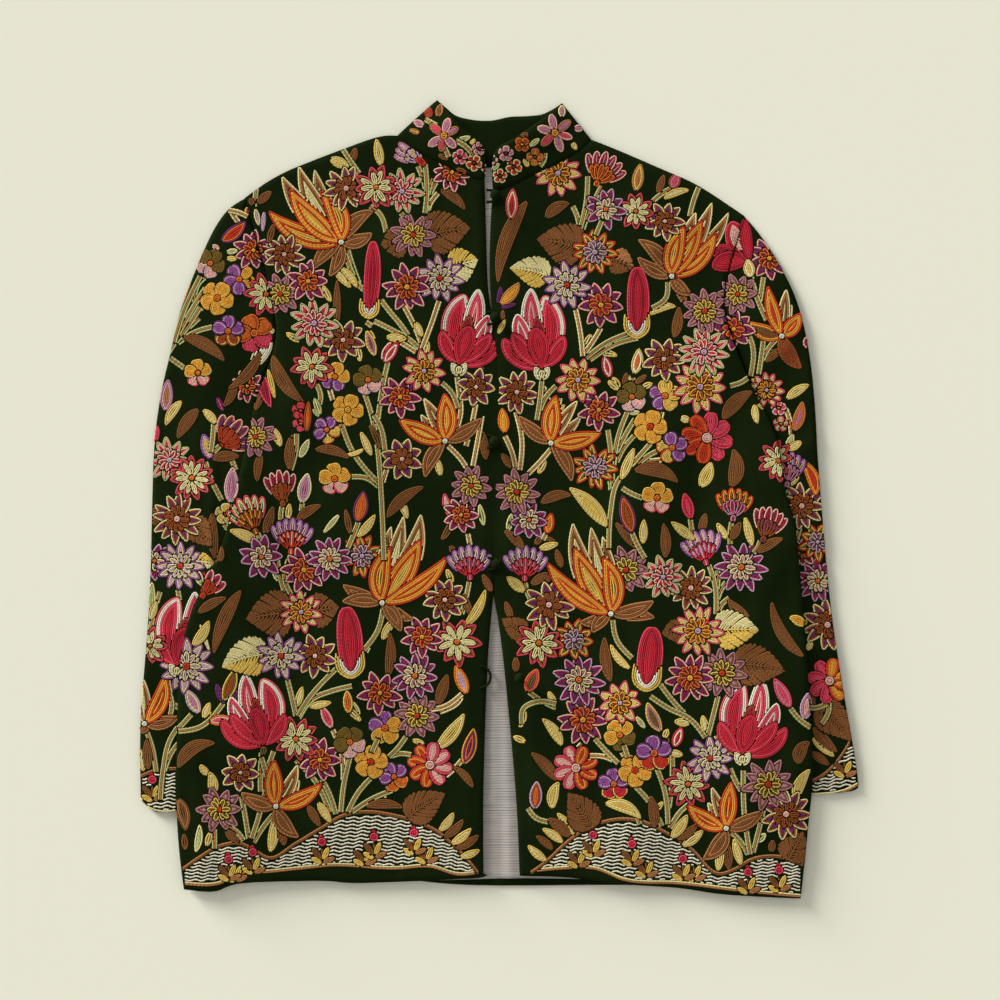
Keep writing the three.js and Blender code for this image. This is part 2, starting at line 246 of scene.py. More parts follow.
def shades(middle: Colour, dark: float, light: float, spread: tuple[float, float]) -> list:
    """Stops of a ramp from a darker to a lighter tone of one colour.

    Args:
        middle: The colour at the ramp's middle.
        dark: Its share at the dark end.
        light: Its share at the light end.
        spread: Where on the ramp the two ends are.

    Returns:
        The three stops.
    """
    return [(spread[0], tuple(dark * part for part in middle)), (0.5, middle),
            (spread[1], tuple(light * part for part in middle))]


@dataclass(frozen=True)
class WoolCloth:
    """Dark wool cloth with a fine plain weave."""

    name: str
    shade: Colour
    thread: float = 0.9 * MM
    cloud_scale: float = 14.0
    fuzz_scale: float = 900.0
    dark: float = 0.72
    light: float = 1.38

    def material(self) -> bpy.types.Material:
        """Build the cloth's material.

        Returns:
            The material.
        """
        shader = Shader(self.name, Roughness=0.95, Sheen_Weight=0.01, Sheen_Roughness=0.5,
                        Sheen_Tint=(0.42, 0.62, 0.20, 1), Specular_IOR_Level=0.03)
        place = shader.place()
        x, y, _ = shader.split(place)
        turns = math.pi / self.thread
        weave = (x * turns).sine().size() * (y * turns).sine().size()
        cloudy = shader.speckle(place, self.cloud_scale, 4.0)
        fuzz = shader.speckle(place, self.fuzz_scale, 2.0)
        stops = shades(self.shade, self.dark, self.light, (0.3, 0.7))
        colour = shader.ramp(cloudy * 0.7 + fuzz * 0.3, stops)
        normal = shader.bump(weave + fuzz * 0.8, 0.5, 0.25 * MM)
        return shader.feed(Base_Color=colour, Normal=normal)


@dataclass(frozen=True)
class SlubSilk:
    """Silver-grey ribbed lining silk with uneven threads, a soft gloss and painted shade between
    its ribs.
    """

    name: str
    shade: Colour
    rib: float = 2.6 * MM
    rib_drift: float = 1.2 * MM
    slub_scales: tuple[float, float, float] = (14.0, 620.0, 1.0)
    dark: float = 0.56
    light: float = 1.26

    def material(self) -> bpy.types.Material:
        """Build the silk's material.

        Returns:
            The material.
        """
        shader = Shader(self.name, Roughness=0.5, Sheen_Weight=0.25, Specular_IOR_Level=0.4)
        place = shader.place()
        _, y, _ = shader.split(place)
        drift = shader.speckle(place, 22.0, 2.0)
        stretched = shader.node("ShaderNodeMapping", {}, {0: place, 3: self.slub_scales})
        slub = shader.speckle(stretched, 1.0, 3.0)
        rib = ((y + drift * self.rib_drift) * (math.pi / self.rib)).sine().size()
        # Painted shade: the rib height used for the bump also darkens the colour in the grooves
        # between ribs. The slub noise adds random tone.
        stops = shades(self.shade, self.dark, self.light, (0.3, 0.72))
        colour = shader.ramp(slub * 0.75 + rib * 0.25, stops)
        return shader.feed(Base_Color=colour, Normal=shader.bump(rib + slub, 0.55, 0.35 * MM))


@dataclass(frozen=True)
class CrewelWool:
    """Embroidery wool: the colour of each row comes with the row; painted shade darkens it between
    the chain links.
    """

    name: str
    fibre_scale: float = 1300.0
    patch_scale: float = 210.0

    def material(self) -> bpy.types.Material:
        """Build the wool's material.

        Returns:
            The material.
        """
        shader = Shader(self.name, Roughness=0.9, Sheen_Weight=0.06, Sheen_Roughness=0.45,
                        Specular_IOR_Level=0.12)
        dye = shader.node("ShaderNodeAttribute", {"attribute_name": "yarn"}, output="Color")
        along = shader.node("ShaderNodeAttribute", {"attribute_name": "along"}, output="Fac")
        across = shader.node("ShaderNodeAttribute", {"attribute_name": "across"}, output="Fac")
        place = shader.place()
        fibre = shader.speckle(place, self.fibre_scale, 3.0)
        patch = shader.speckle(place, self.patch_scale, 2.0)
        link = ((along + across.size() * 0.35) * math.pi).sine().size()
        # Painted shade: the dye is darkened to under half in the dips between chain links, where
        # the link height used for the bump is low. The fibre and patch noise add random tone.
        shade = shader.ramp(
            link * 0.45 + fibre * 0.35 + patch * 0.35,
            [(0.2, (0.46, 0.44, 0.42)), (0.55, (0.94, 0.94, 0.94)), (0.95, (1.0, 1.0, 1.0))],
        )
        colour = shader.blend("MULTIPLY", 1.0, dye, shade)
        return shader.feed(Base_Color=colour, Normal=shader.bump(link + fibre * 0.6, 0.6, 0.3 * MM))


# ---------------------------------------------------------------- cloth panels
@dataclass(frozen=True)
class Fold:
    """A soft ridge, or with a negative height a trough, laid on a panel.

    Ends are in chart squares; half_width and height are in millimetres.
    """

    x0: float
    y0: float
    x1: float
    y1: float
    half_width: float
    height: float

    def lift(self, ground: Array) -> Array:
        """The height it adds at each place.

        Args:
            ground: x and y in metres, one place in each row.

        Returns:
            One height for each place, in metres.
        """
        start, end = on_cloth([(self.x0, self.y0), (self.x1, self.y1)])
        run = end - start
        length = float(np.hypot(*run))
        ahead = run / length
        aside = np.array([-ahead[1], ahead[0]])
        t = (ground - start) @ ahead
        side = (ground - start) @ aside
        beyond = np.maximum(np.maximum(-t, t - length), 0)
        width = self.half_width * MM
        fade = np.exp(-(beyond / (FOLD_END * width)) ** 2)
        return self.height * MM * np.exp(-(side / width) ** 2) * fade


class HeightMap:
    """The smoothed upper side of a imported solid, as a grid of heights."""

    STEP = 4 * MM
    MARGIN = 6

    def __init__(self, node: str, soften: float) -> None:
        """Sample the solid from above and smooth what was read.

        Args:
            node: The solid's node.
            soften: Spread of the smoothing, in metres.
        """
        low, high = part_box(node)
        around = self.MARGIN * self.STEP
        self.origin = np.array([low.x - around, low.y - around])
        columns = int((high.x - low.x) / self.STEP) + 2 * self.MARGIN + 1
        rows = int((high.y - low.y) / self.STEP) + 2 * self.MARGIN + 1
        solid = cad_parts[node]
        tree = BVHTree.FromPolygons(
            [v.co for v in solid.data.vertices], [p.vertices for p in solid.data.polygons])
        heights = np.zeros((rows, columns))
        known = np.zeros((rows, columns))
        down = Vector((0, 0, -1))
        for row in range(rows):
            for column in range(columns):
                start = (self.origin[0] + column * self.STEP, self.origin[1] + row * self.STEP, 1.0)
                hit = tree.ray_cast(Vector(start), down)[0]
                if hit is not None:
                    heights[row, column] = hit.z
                    known[row, column] = 1
        reach = max(1, round(3 * soften / self.STEP))
        bell = np.exp(-0.5 * (np.arange(-reach, reach + 1) * self.STEP / soften) ** 2)
        self.heights = self._spread(heights, bell) / np.maximum(self._spread(known, bell), TINY)

    @staticmethod
    def _spread(grid: Array, bell: Array) -> Array:
        """Blur a grid both ways.

        Args:
            grid: The grid.
            bell: Weights of the blur.

        Returns:
            The blurred grid.
        """
        for axis in (0, 1):
            grid = np.apply_along_axis(lambda line: np.convolve(line, bell, "same"), axis, grid)
        return grid

    def at(self, ground: Array) -> Array:
        """Read the map between its points.

        Args:
            ground: x and y in metres, one place in each row.

        Returns:
            The height at each place.
        """
        spot = (ground - self.origin) / self.STEP
        rows, columns = self.heights.shape
        x = np.clip(spot[:, 0], 0, columns - 1.001)
        y = np.clip(spot[:, 1], 0, rows - 1.001)
        i, j = x.astype(int), y.astype(int)
        u, v = x - i, y - j
        grid = self.heights
        return ((grid[j, i] * (1 - u) + grid[j, i + 1] * u) * (1 - v)
                + (grid[j + 1, i] * (1 - u) + grid[j + 1, i + 1] * u) * v)


class Outline:
    """The edge of a packed panel, smoothed and evenly divided."""

    CORNER = math.radians(38)

    def __init__(self, node: str, spacing: float) -> None:
        """Find the edge of the panel's upper side.

        Args:
            node: The panel's node.
            spacing: Distance between points, in metres.
        """
        self.points = self._divided(self._corners_only(self._edge(node)), spacing)

    @staticmethod
    def _edge(node: str) -> Array:
        """Find the closed line round the upper faces of a node.

        Args:
            node: The panel's node.

        Returns:
            Its corners in order.
        """
        bm = bmesh.new()
        bm.from_mesh(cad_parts[node].data)
        bmesh.ops.remove_doubles(bm, verts=bm.verts, dist=1e-6)
        upper = {f: None for f in bm.faces if f.normal.z > FACES_UP}
        following = {}
        for face in upper:
            for loop in face.loops:
                if not any(other in upper for other in loop.edge.link_faces if other is not face):
                    following[loop.vert] = loop.link_loop_next.vert
        lines = []
        while following:
            vert = next(iter(following))
            line = []
            while vert in following:
                line.append((vert.co.x, vert.co.y))
                vert = following.pop(vert)
            lines.append(line)
        bm.free()
        return np.array(max(lines, key=len))

    @staticmethod
    def _corners_only(points: Array) -> Array:
        """Leave out points that lie on a straight stretch.

        Args:
            points: The outline.

        Returns:
            The points at which it turns.
        """
        before = points - np.roll(points, 1, axis=0)
        after = np.roll(points, -1, axis=0) - points
        turn = np.abs(before[:, 0] * after[:, 1] - before[:, 1] * after[:, 0])
        scale = np.hypot(*before.T) * np.hypot(*after.T)
        return points[(turn / np.maximum(scale, 1e-12) > STRAIGHT) & (scale > 0)]

    def _divided(self, points: Array, spacing: float) -> Array:
        """Draw a smooth line through the points, with its sharp corners kept.

        Args:
            points: The outline's corners.
            spacing: Distance between points of the result.

        Returns:
            The closed line.
        """
        before = points - np.roll(points, 1, axis=0)
        after = np.roll(points, -1, axis=0) - points
        turn = np.arctan2(before[:, 0] * after[:, 1] - before[:, 1] * after[:, 0],
                          np.sum(before * after, axis=1))
        corners = [int(i) for i in np.flatnonzero(np.abs(turn) > self.CORNER)]
        points = np.roll(points, -corners[0], axis=0)
        corners = [c - corners[0] for c in corners] + [len(points)]
        looped = np.vstack([points, points[:1]])
        parts = []
        for start, end in zip(corners[:-1], corners[1:]):
            parts.append(curve_through(looped[start:end + 1], spacing)[:-1])
        return np.vstack(parts)


def curve_through(points: Array, spacing: float) -> Array:
    """A smooth curve through points, divided evenly.

    Args:
        points: Points that the curve passes.
        spacing: Distance between the points of the result.

    Returns:
        The curve's points, both ends among them.
    """
    points = np.asarray(points, float)
    if len(points) > 2:
        runs = np.diff(points, axis=0)
        lengths = np.maximum(np.hypot(*runs.T), 1e-9)[:, None]
        slopes = runs / lengths
        share = lengths[1:] / (lengths[1:] + lengths[:-1])
        middle = slopes[:-1] * share + slopes[1:] * (1 - share)
        first = 1.5 * slopes[:1] - 0.5 * middle[:1]
        last = 1.5 * slopes[-1:] - 0.5 * middle[-1:]
        slopes = np.vstack([first, middle, last])
        t = np.linspace(0, 1, 9)[:-1, None]
        parts = []
        for a, b, length, m, n in zip(points, points[1:], lengths, slopes, slopes[1:]):
            parts.append(a * (2 * t ** 3 - 3 * t ** 2 + 1) + b * (3 * t ** 2 - 2 * t ** 3)
                         + length * (m * (t ** 3 - 2 * t ** 2 + t) + n * (t ** 3 - t ** 2)))
        points = np.vstack([*parts, points[-1:]])
    return divided(points, spacing)


def divided(points: Array, spacing: float) -> Array:
    """Space the points of a line evenly.

    Args:
        points: The line.
        spacing: Distance between points of the result.

    Returns:
        The same line, with its ends kept.
    """
    lengths = np.hypot(*np.diff(points, axis=0).T)
    run = np.concatenate([[0], np.cumsum(lengths)])
    count = max(2, round(run[-1] / spacing) + 1)
    stations = np.linspace(0, run[-1], count)
    return np.column_stack([np.interp(stations, run, part) for part in points.T])


def inside(ground: Array, outline: Array) -> Array:
    """Which places lie inside a closed outline.

    Args:
        ground: Places, one in each row.
        outline: The outline's points.

    Returns:
        True or False for each place.
    """
    found = np.zeros(len(ground), bool)
    x, y = ground[:, 0], ground[:, 1]
    for (x0, y0), (x1, y1) in zip(outline, np.roll(outline, -1, axis=0)):
        crosses = (y0 > y) != (y1 > y)
        if crosses.any():
            found ^= crosses & (x < x0 + (y - y0) * (x1 - x0) / ((y1 - y0) or 1e-12))
    return found


def edge_distance(ground: Array, outline: Array) -> Array:
    """How far each place is from a closed outline.

    Args:
        ground: Places, one in each row.
        outline: The outline's points.

    Returns:
        The distance of each place.
    """
    least = np.full(len(ground), np.inf)
    for start, end in zip(outline, np.roll(outline, -1, axis=0)):
        run = end - start
        t = np.clip(((ground - start) @ run) / max(float(run @ run), 1e-18), 0, 1)
        least = np.minimum(least, np.hypot(*(ground - start - t[:, None] * run).T))
    return least


@dataclass
class Panel:
    """A cut piece of cloth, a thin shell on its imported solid's form."""

    name: str
    nodes: tuple[str, ...]
    thickness: float
    flat: tuple[float, float]
    area: float
    rests_on: tuple[str, ...]
    spacing: float = 4 * MM
    soften: float = 13 * MM
    pucker: float = 0.35 * MM
    folds: tuple[Fold, ...] = ()
    slot: str = "wool_cloth"
    rim_drop: float = 0.18
    rim_wall: float = 0.64
    rim_bulge: float = 0.3

    def __post_init__(self) -> None:
        """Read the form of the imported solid."""
        self.form = HeightMap(self.nodes[0], self.soften)
        self.edge = Outline(self.nodes[0], self.spacing).points

    def height(self, ground: Array) -> Array:
        """Height of the cloth's upper side.

        Args:
            ground: Places in metres, one in each row.

        Returns:
            The height at each place.
        """
        heights = self.form.at(ground)
        for fold in self.folds:
            heights = heights + fold.lift(ground)
        ripple = [noise.noise((x * WIDE_RIPPLE, y * WIDE_RIPPLE, 3.1))
                  + 0.6 * noise.noise((x * FINE_RIPPLE, y * FINE_RIPPLE, 7.7)) for x, y in ground]
        return heights + self.pucker * np.array(ripple)

    def _net(self) -> tuple[Array, list[tuple[int, ...]]]:
        """Spread points evenly over the panel and join them.

        Returns:
            The points, the edge's first, and the triangles between them.
        """
        low, high = self.edge.min(axis=0), self.edge.max(axis=0)
        rise = self.spacing * math.sqrt(3) / 2
        rows = np.arange(low[1] + rise / 2, high[1], rise)
        columns = np.arange(low[0], high[0], self.spacing)
        ground = np.vstack([
            np.column_stack([columns + (self.spacing / 2) * (index % 2), np.full(len(columns), y)])
            for index, y in enumerate(rows)])
        ground = ground[inside(ground, self.edge)]
        ground = ground[edge_distance(ground, self.edge) > 0.6 * self.spacing]
        every = np.vstack([self.edge, ground])
        whole = [list(range(len(self.edge)))]
        made = delaunay_2d_cdt([Vector(p) for p in every], [], whole, 1, TINY)
        return np.array([tuple(v) for v in made[0]]), [tuple(f) for f in made[2]]

    def _outward(self) -> Array:
        """Find the way out of the panel at its edge.

        Returns:
            The outward direction at each point of the edge.
        """
        along = np.roll(self.edge, -1, axis=0) - np.roll(self.edge, 1, axis=0)
        along /= np.maximum(np.hypot(*along.T), 1e-12)[:, None]
        return np.column_stack([along[:, 1], -along[:, 0]])

    def build(self, finish: bpy.types.Material) -> bpy.types.Object:
        """Args:
            finish: The cloth's material.

        Returns:
            The finished object.
        """
        ground, triangles = self._net()
        count, rim = len(ground), len(self.edge)
        top = self.height(ground)
        top[:rim] -= self.rim_drop * self.thickness
        under = top - self.thickness
        under[:rim] = top[:rim] - self.rim_wall * self.thickness
        middle = self.edge + self._outward() * (self.rim_bulge * self.thickness)
        middle_height = (top[:rim] + under[:rim]) / 2
        points = np.vstack([
            np.column_stack([ground, top]),
            np.column_stack([ground, under]),
            np.column_stack([middle, middle_height]),
        ])
        faces = list(triangles) + [tuple(count + i for i in reversed(f)) for f in triangles]
        for here in range(rim):
            ahead = (here + 1) % rim
            faces.append((ahead, here, 2 * count + here, 2 * count + ahead))
            faces.append((2 * count + ahead, 2 * count + here, count + here, count + ahead))
        made = cloth_object(self.name, points, faces, finish)
        finish_sheet(made, self)
        return made


def cloth_object(name: str, points: Array, faces: Iterable[tuple[int, ...]],
                 finish: bpy.types.Material) -> bpy.types.Object:
    """Make a smooth mesh object that faces outwards.

    Args:
        name: The object's name.
        points: Its points.
        faces: Its faces.
        finish: Its material.

    Returns:
        The object, linked to the scene.
    """
    mesh = bpy.data.meshes.new(name)
    mesh.from_pydata([tuple(p) for p in points], [], list(faces))
    mesh.validate()
    bm = bmesh.new()
    bm.from_mesh(mesh)
    bmesh.ops.recalc_face_normals(bm, faces=bm.faces)
    bm.to_mesh(mesh)
    bm.free()
    mesh.polygons.foreach_set("use_smooth", [True] * len(mesh.polygons))
    mesh.materials.append(finish)
    made = bpy.data.objects.new(name, mesh)
    bpy.context.scene.collection.objects.link(made)
    return made


def finish_sheet(made: bpy.types.Object, panel: Panel) -> None:
    """Ride and replace a cloth piece, and log its faces.

    Args:
        made: The piece.
        panel: What it was made from.
    """
    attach(made, "root")
    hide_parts(*panel.nodes)
    LOG.info("%s: %d faces", made.name, len(made.data.polygons))


@dataclass
class Sleeve(Panel):
    """A flattened tube of cloth, open at the cuff and at the armhole."""

    armhole_high: float = 90 * MM
    cuff_below: float = -270 * MM
    rim_drop: float = 0.12
    rim_bulge: float = 0.35
    least_hollow: float = 0.25 * MM

    def _open_edges(self) -> list[bool]:
        """Tell the tube's openings from its folds.

        Returns:
            For each point of the edge, whether it's on the cuff or the armhole.
        """
        outward = self._outward()
        towards_body = 1 if self.edge[:, 0].mean() < 0 else -1
        found = []
        for (_, y), (nx, ny) in zip(self.edge, outward):
            cuff = y < self.cuff_below and ny < -0.7
            armhole = y > self.armhole_high and nx * towards_body > 0
            found.append(bool(cuff or armhole))
        return found

    def build(self, finish: bpy.types.Material) -> bpy.types.Object:
        """Make both walls of the tube, joined along its folds.

        Args:
            finish: The cloth's material.

        Returns:
            The finished object.
        """
        ground, triangles = self._net()
        count, rim = len(ground), len(self.edge)
        top = self.height(ground)
        inner_ground = ground.copy()
        inner_ground[:rim] -= self._outward() * self.thickness
        top[:rim] -= self.rim_drop * self.thickness
        floor = np.zeros(count)
        floor[:rim] = self.rim_drop * self.thickness
        inner_top = np.maximum(top - self.thickness, self.thickness + self.least_hollow)
        inner_floor = np.full(count, self.thickness)
        middle = self.edge + self._outward() * (self.rim_bulge * self.thickness)
        points = np.vstack([
            np.column_stack([ground, top]),
            np.column_stack([ground, floor]),
            np.column_stack([inner_ground, inner_top]),
            np.column_stack([inner_ground, inner_floor]),
            np.column_stack([middle, (top[:rim] + floor[:rim]) / 2]),
        ])
        low, hollow_top, hollow_low, fold = count, 2 * count, 3 * count, 4 * count
        faces = []
        for shift, flip in ((0, False), (low, True), (hollow_top, True), (hollow_low, False)):
            for face in triangles:
                moved = tuple(shift + i for i in face)
                faces.append(tuple(reversed(moved)) if flip else moved)
        is_open = self._open_edges()
        for here in range(rim):
            ahead = (here + 1) % rim
            if is_open[here]:
                faces.append((ahead, here, hollow_top + here, hollow_top + ahead))
                faces.append((hollow_low + ahead, hollow_low + here, low + here, low + ahead))
            else:
                faces.append((ahead, here, fold + here, fold + ahead))
                faces.append((fold + ahead, fold + here, low + here, low + ahead))
                faces.append((hollow_top + here, hollow_top + ahead,
                              hollow_low + ahead, hollow_low + here))
            if is_open[here] != is_open[here - 1]:
                faces.append((here, fold + here, low + here, hollow_low + here, hollow_top + here))
        made = cloth_object(self.name, points, faces, finish)
        finish_sheet(made, self)
        return made


# ------------------------------------------------------------------ small parts
def finish_small(made: bpy.types.Object, node: str) -> bpy.types.Object:
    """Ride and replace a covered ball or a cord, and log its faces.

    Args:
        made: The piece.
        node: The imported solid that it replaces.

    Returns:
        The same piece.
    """
    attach(made, "root")
    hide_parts(node)
    LOG.info("%s: %d faces", made.name, len(made.data.polygons))
    return made


@dataclass
class CoveredBall:
    """A ball button covered with the coat's cloth, on its shank."""

    node: str
    turns: int = 28
    rings: int = 18
    squash: float = 0.86
    gathers: int = 7
    gather_depth: float = 0.035

    def build(self, finish: bpy.types.Material) -> bpy.types.Object:
        """Make the ball with faint gathers round its foot.

        Args:
            finish: The cloth's material.

        Returns:
            The finished object.
        """
        low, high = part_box(self.node)
        centre = (low + high) / 2
        radius = (high.x - low.x) / 2
        foot = low.z + 0.3 * MM
        crown = high.z
        middle = crown - radius * self.squash
        profile = []
        for ring in range(self.rings + 1):
            angle = math.pi * ring / self.rings
            reach = radius * math.sin(angle)
            z = middle + radius * self.squash * math.cos(angle)
            profile.append((max(reach, 0.0), z))
        points = [(centre.x, centre.y, crown)]
        for reach, z in profile[1:-1]:
            depth = (crown - z) / (crown - foot)
            for turn in range(self.turns):
                around = 2 * math.pi * turn / self.turns
                ruffle = math.cos(self.gathers * around + centre.y * 90)
                gather = 1 + self.gather_depth * depth * ruffle
                points.append((centre.x + reach * gather * math.cos(around),
                               centre.y + reach * gather * math.sin(around), z))
        points.append((centre.x, centre.y, profile[-1][1]))
        faces = [(0, 1 + i, 1 + (i + 1) % self.turns) for i in range(self.turns)]
        for ring in range(self.rings - 2):
            start = 1 + ring * self.turns
            for i in range(self.turns):
                j = (i + 1) % self.turns
                faces.append((start + i, start + self.turns + i, start + self.turns + j, start + j))
        last = 1 + (self.rings - 2) * self.turns
        foot_point = len(points) - 1
        faces += [(last + i, foot_point, last + (i + 1) % self.turns) for i in range(self.turns)]
        points, faces = self._with_shank(points, faces, centre, foot, profile[-1][1])
        return finish_small(cloth_object(self.node + "_ball", points, faces, finish), self.node)

    @staticmethod
    def _with_shank(points: list, faces: list, centre: Vector, foot: float,
                    under: float) -> tuple[list, list]:
        """Add a short thread shank below the ball.

        Args:
            points: The ball's points.
            faces: The ball's faces.
            centre: The ball's middle.
            foot: Height of the shank's foot.
            under: Height of the ball's underside.

        Returns:
            All points and all faces.
        """
        sides, start = 10, len(points)
        rings = ((1.9 * MM, foot), (1.5 * MM, foot + 0.8 * MM), (1.5 * MM, under + 1.2 * MM))
        for reach, z in rings:
            for side in range(sides):
                around = 2 * math.pi * side / sides
                points.append((centre.x + reach * math.cos(around),
                               centre.y + reach * math.sin(around), z))
        for ring in (0, 1):
            for side in range(sides):
                here, ahead = start + ring * sides + side, start + ring * sides + (side + 1) % sides
                faces.append((here, ahead, ahead + sides, here + sides))
        faces.append(tuple(reversed(range(start, start + sides))))
        faces.append(tuple(range(start + 2 * sides, start + 3 * sides)))
        return points, faces


@dataclass
class CordLoop:
    """A loop of rouleau cord that a ball slips through."""

    node: str
    radius: float = 1.25 * MM
    turns: int = 10
    steps: int = 26
    near: float = 3 * MM

    def build(self, finish: bpy.types.Material) -> bpy.types.Object:
        """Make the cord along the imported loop's middle line.

        Args:
            finish: The cloth's material.

        Returns:
            The finished object.
        """
        line = self._middle_line()
        points, faces = [], []
        for index, spot in enumerate(line):
            ahead = line[min(index + 1, len(line) - 1)] - line[max(index - 1, 0)]
            ahead.normalize()
            side = ahead.cross(Vector((0, 0, 1))).normalized()
            rise = side.cross(ahead)
            for turn in range(self.turns):
                around = 2 * math.pi * turn / self.turns
                reach = self.radius * (1 + 0.05 * math.sin(index * 1.7))
                points.append(tuple(spot + side * reach * math.cos(around)
                                    + rise * reach * math.sin(around)))
        for index in range(len(line) - 1):
            for turn in range(self.turns):
                here = index * self.turns + turn
                beside = index * self.turns + (turn + 1) % self.turns
                faces.append((here, beside, beside + self.turns, here + self.turns))
        faces.append(tuple(reversed(range(self.turns))))
        faces.append(tuple(range(len(points) - self.turns, len(points))))
        return finish_small(cloth_object(self.node + "_cord", points, faces, finish), self.node)

    def _middle_line(self) -> list[Vector]:
        """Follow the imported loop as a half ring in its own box.

        Returns:
            The loop's middle line, from foot to foot.
        """
        low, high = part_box(self.node)
        across = (high.x - low.x) - 2 * self.radius
        half = (high.y - low.y) / 2 - self.radius
        spots = [v.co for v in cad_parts[self.node].data.vertices]
        centre = (low.y + high.y) / 2
        ends = [spot for spot in spots if abs(spot.y - centre) > 0.8 * half]
        middle = sum((spot.x for spot in spots), 0.0) / len(spots)
        feet_left = sum(v.x for v in ends) / len(ends) < middle
        start = low.x + self.radius if feet_left else high.x - self.radius
        reach = across if feet_left else -across
        line = []
        for step in range(self.steps + 1):
            angle = math.pi * step / self.steps
            x = start + reach * math.sin(angle)
            y = centre - half * math.cos(angle)
            near = [spot.z for spot in spots
                    if abs(spot.x - x) < self.near and abs(spot.y - y) < self.near]
            z = (min(near) + max(near)) / 2 if near else (low.z + high.z) / 2
            line.append(Vector((x, y, z)))
        for _ in range(3):
            for index in range(1, len(line) - 1):
                line[index].z = (line[index - 1].z + line[index].z * 2 + line[index + 1].z) / 4
        return line


# ------------------------------------------------------------------- embroidery
class Yarn(Enum):
    """The dyed wools, as display colours."""

    BROWN = (120, 74, 36)
    TAN = (164, 108, 62)
    CREAM = (208, 194, 134)
    STRAW = (208, 172, 78)
    GOLD = (212, 146, 48)
    ORANGE = (202, 98, 34)
    FLAME = (186, 50, 26)
    RED = (184, 36, 50)
    CRIMSON = (142, 28, 48)
    ROSE = (206, 66, 86)
    BLUSH = (216, 164, 146)
    MAUVE = (178, 112, 130)
    LILAC = (182, 146, 166)
    PURPLE = (96, 40, 88)
    SAGE = (168, 172, 108)
    RUST = (146, 66, 28)
    IRIS = (138, 74, 134)
    WHITE = (216, 208, 182)
    OLIVE = (108, 84, 30)

    @property
    def shade(self) -> Colour:
        """The wool's linear colour."""
        return linear(*self.value)


Y = Yarn
Tones = tuple[Yarn, ...]
ROW = 1.86  # distance between rows, on the chart
FINE = 1.56  # the same on small petals
ROW_HALF = 0.51  # half width of a row, as a share of that distance
RING_ROOM = 0.42  # room that one more ring needs, in rows
SPINE_ROOM = -0.35  # room that a middle row needs, in rows
TIP_LAP = 0.45  # how far inner rings run on into the tips, in rows


@dataclass(frozen=True)
class Row:
    """One run of chain stitch on the chart."""

    line: Array
    yarn: Yarn
    half_width: float = ROW_HALF * ROW * CHART_SQUARE


class Form(Enum):
    """How a blade widens from its base to its tip: two powers."""

    LEAF = (0.72, 0.95)
    PETAL = (0.9, 0.66)
    ROUND = (0.62, 0.42)
    STAR = (0.75, 0.95)
    OVAL = (0.42, 0.40)
    DROP = (1.0, 0.55)
    TOOTHED = (0.46, 0.98)

    def half_widths(self, t: Array) -> Array:
        """How wide the blade is on its way.

        Args:
            t: Places from 0 at the base to 1 at the tip.

        Returns:
            Half widths there, 1 at the widest place.
        """
        rise, fall = self.value
        peak = rise / (rise + fall)
        top = peak ** rise * (1 - peak) ** fall
        return np.maximum(t, 0) ** rise * np.maximum(1 - t, 0) ** fall / top


def spine_of(base: Spot, tip: Spot, bend: float) -> Array:
    """A gently curved middle line from base to tip.

    Args:
        base: Where it starts.
        tip: Where it ends.
        bend: Sideways bulge as a share of the length, to the right of the way up if positive.

    Returns:
        Its points.
    """
    a, c = np.array(base, float), np.array(tip, float)
    run = c - a
    b = (a + c) / 2 + np.array([-run[1], run[0]]) * bend * 2
    t = np.linspace(0, 1, max(9, int(np.hypot(*run) / 0.9)))[:, None]
    return a * (1 - t) ** 2 + 2 * b * t * (1 - t) + c * t ** 2


def sideways(line: Array) -> Array:
    """Directions across a line.

    Args:
        line: Its points.

    Returns:
        A unit vector for each point.
    """
    along = np.gradient(line, axis=0)
    along /= np.maximum(np.hypot(*along.T), 1e-9)[:, None]
    return np.column_stack([-along[:, 1], along[:, 0]])


def blade(base: Spot, tip: Spot, width: float, tones: Tones, form: Form = Form.LEAF,
          bend: float = 0.0, pitch: float = ROW) -> list[Row]:
    """A petal or leaf worked in rows that follow its edge inwards.

    Args:
        base: Where it starts.
        tip: Its point.
        width: Its greatest width.
        tones: Wools of the rows, from the edge inwards; the last fills the rest.
        form: How it widens.
        bend: How far its middle line bulges.
        pitch: Distance between rows.

    Returns:
        The rows.
    """
    line = spine_of(base, tip, bend)
    aside = sideways(line)
    widths = form.half_widths(np.linspace(0, 1, len(line))) * width / 2
    thick = ROW_HALF * pitch * CHART_SQUARE
    rows = []
    ring = 0
    while True:
        reach = widths - (ring + 0.5) * pitch
        spare = float(reach.max())
        yarn = tones[min(ring, len(tones) - 1)]
        if spare < RING_ROOM * pitch:
            if spare > SPINE_ROOM * pitch or not ring:
                within = np.flatnonzero(reach > min(-0.5 * pitch, spare - 0.7 * pitch))
                if len(within) > 2:
                    rows.append(Row(line[within[0]:within[-1] + 1], yarn, thick))
            elif ring > 1:
                inner = line[len(line) // 8:-len(line) // 8]
                rows.insert(0, Row(inner, tones[min(ring - 1, len(tones) - 1)], thick))
            break
        within = np.flatnonzero(reach > (-TIP_LAP * pitch if ring else 0))
        part = slice(within[0], within[-1] + 1)
        offset = aside[part] * np.maximum(reach[part, None], 0.02)
        loop = np.vstack([line[part] + offset, (line[part] - offset)[::-1]])
        if ring:
            loop = np.vstack([loop, loop[:1]])
        rows.append(Row(loop, yarn, thick))
        ring += 1
    return rows


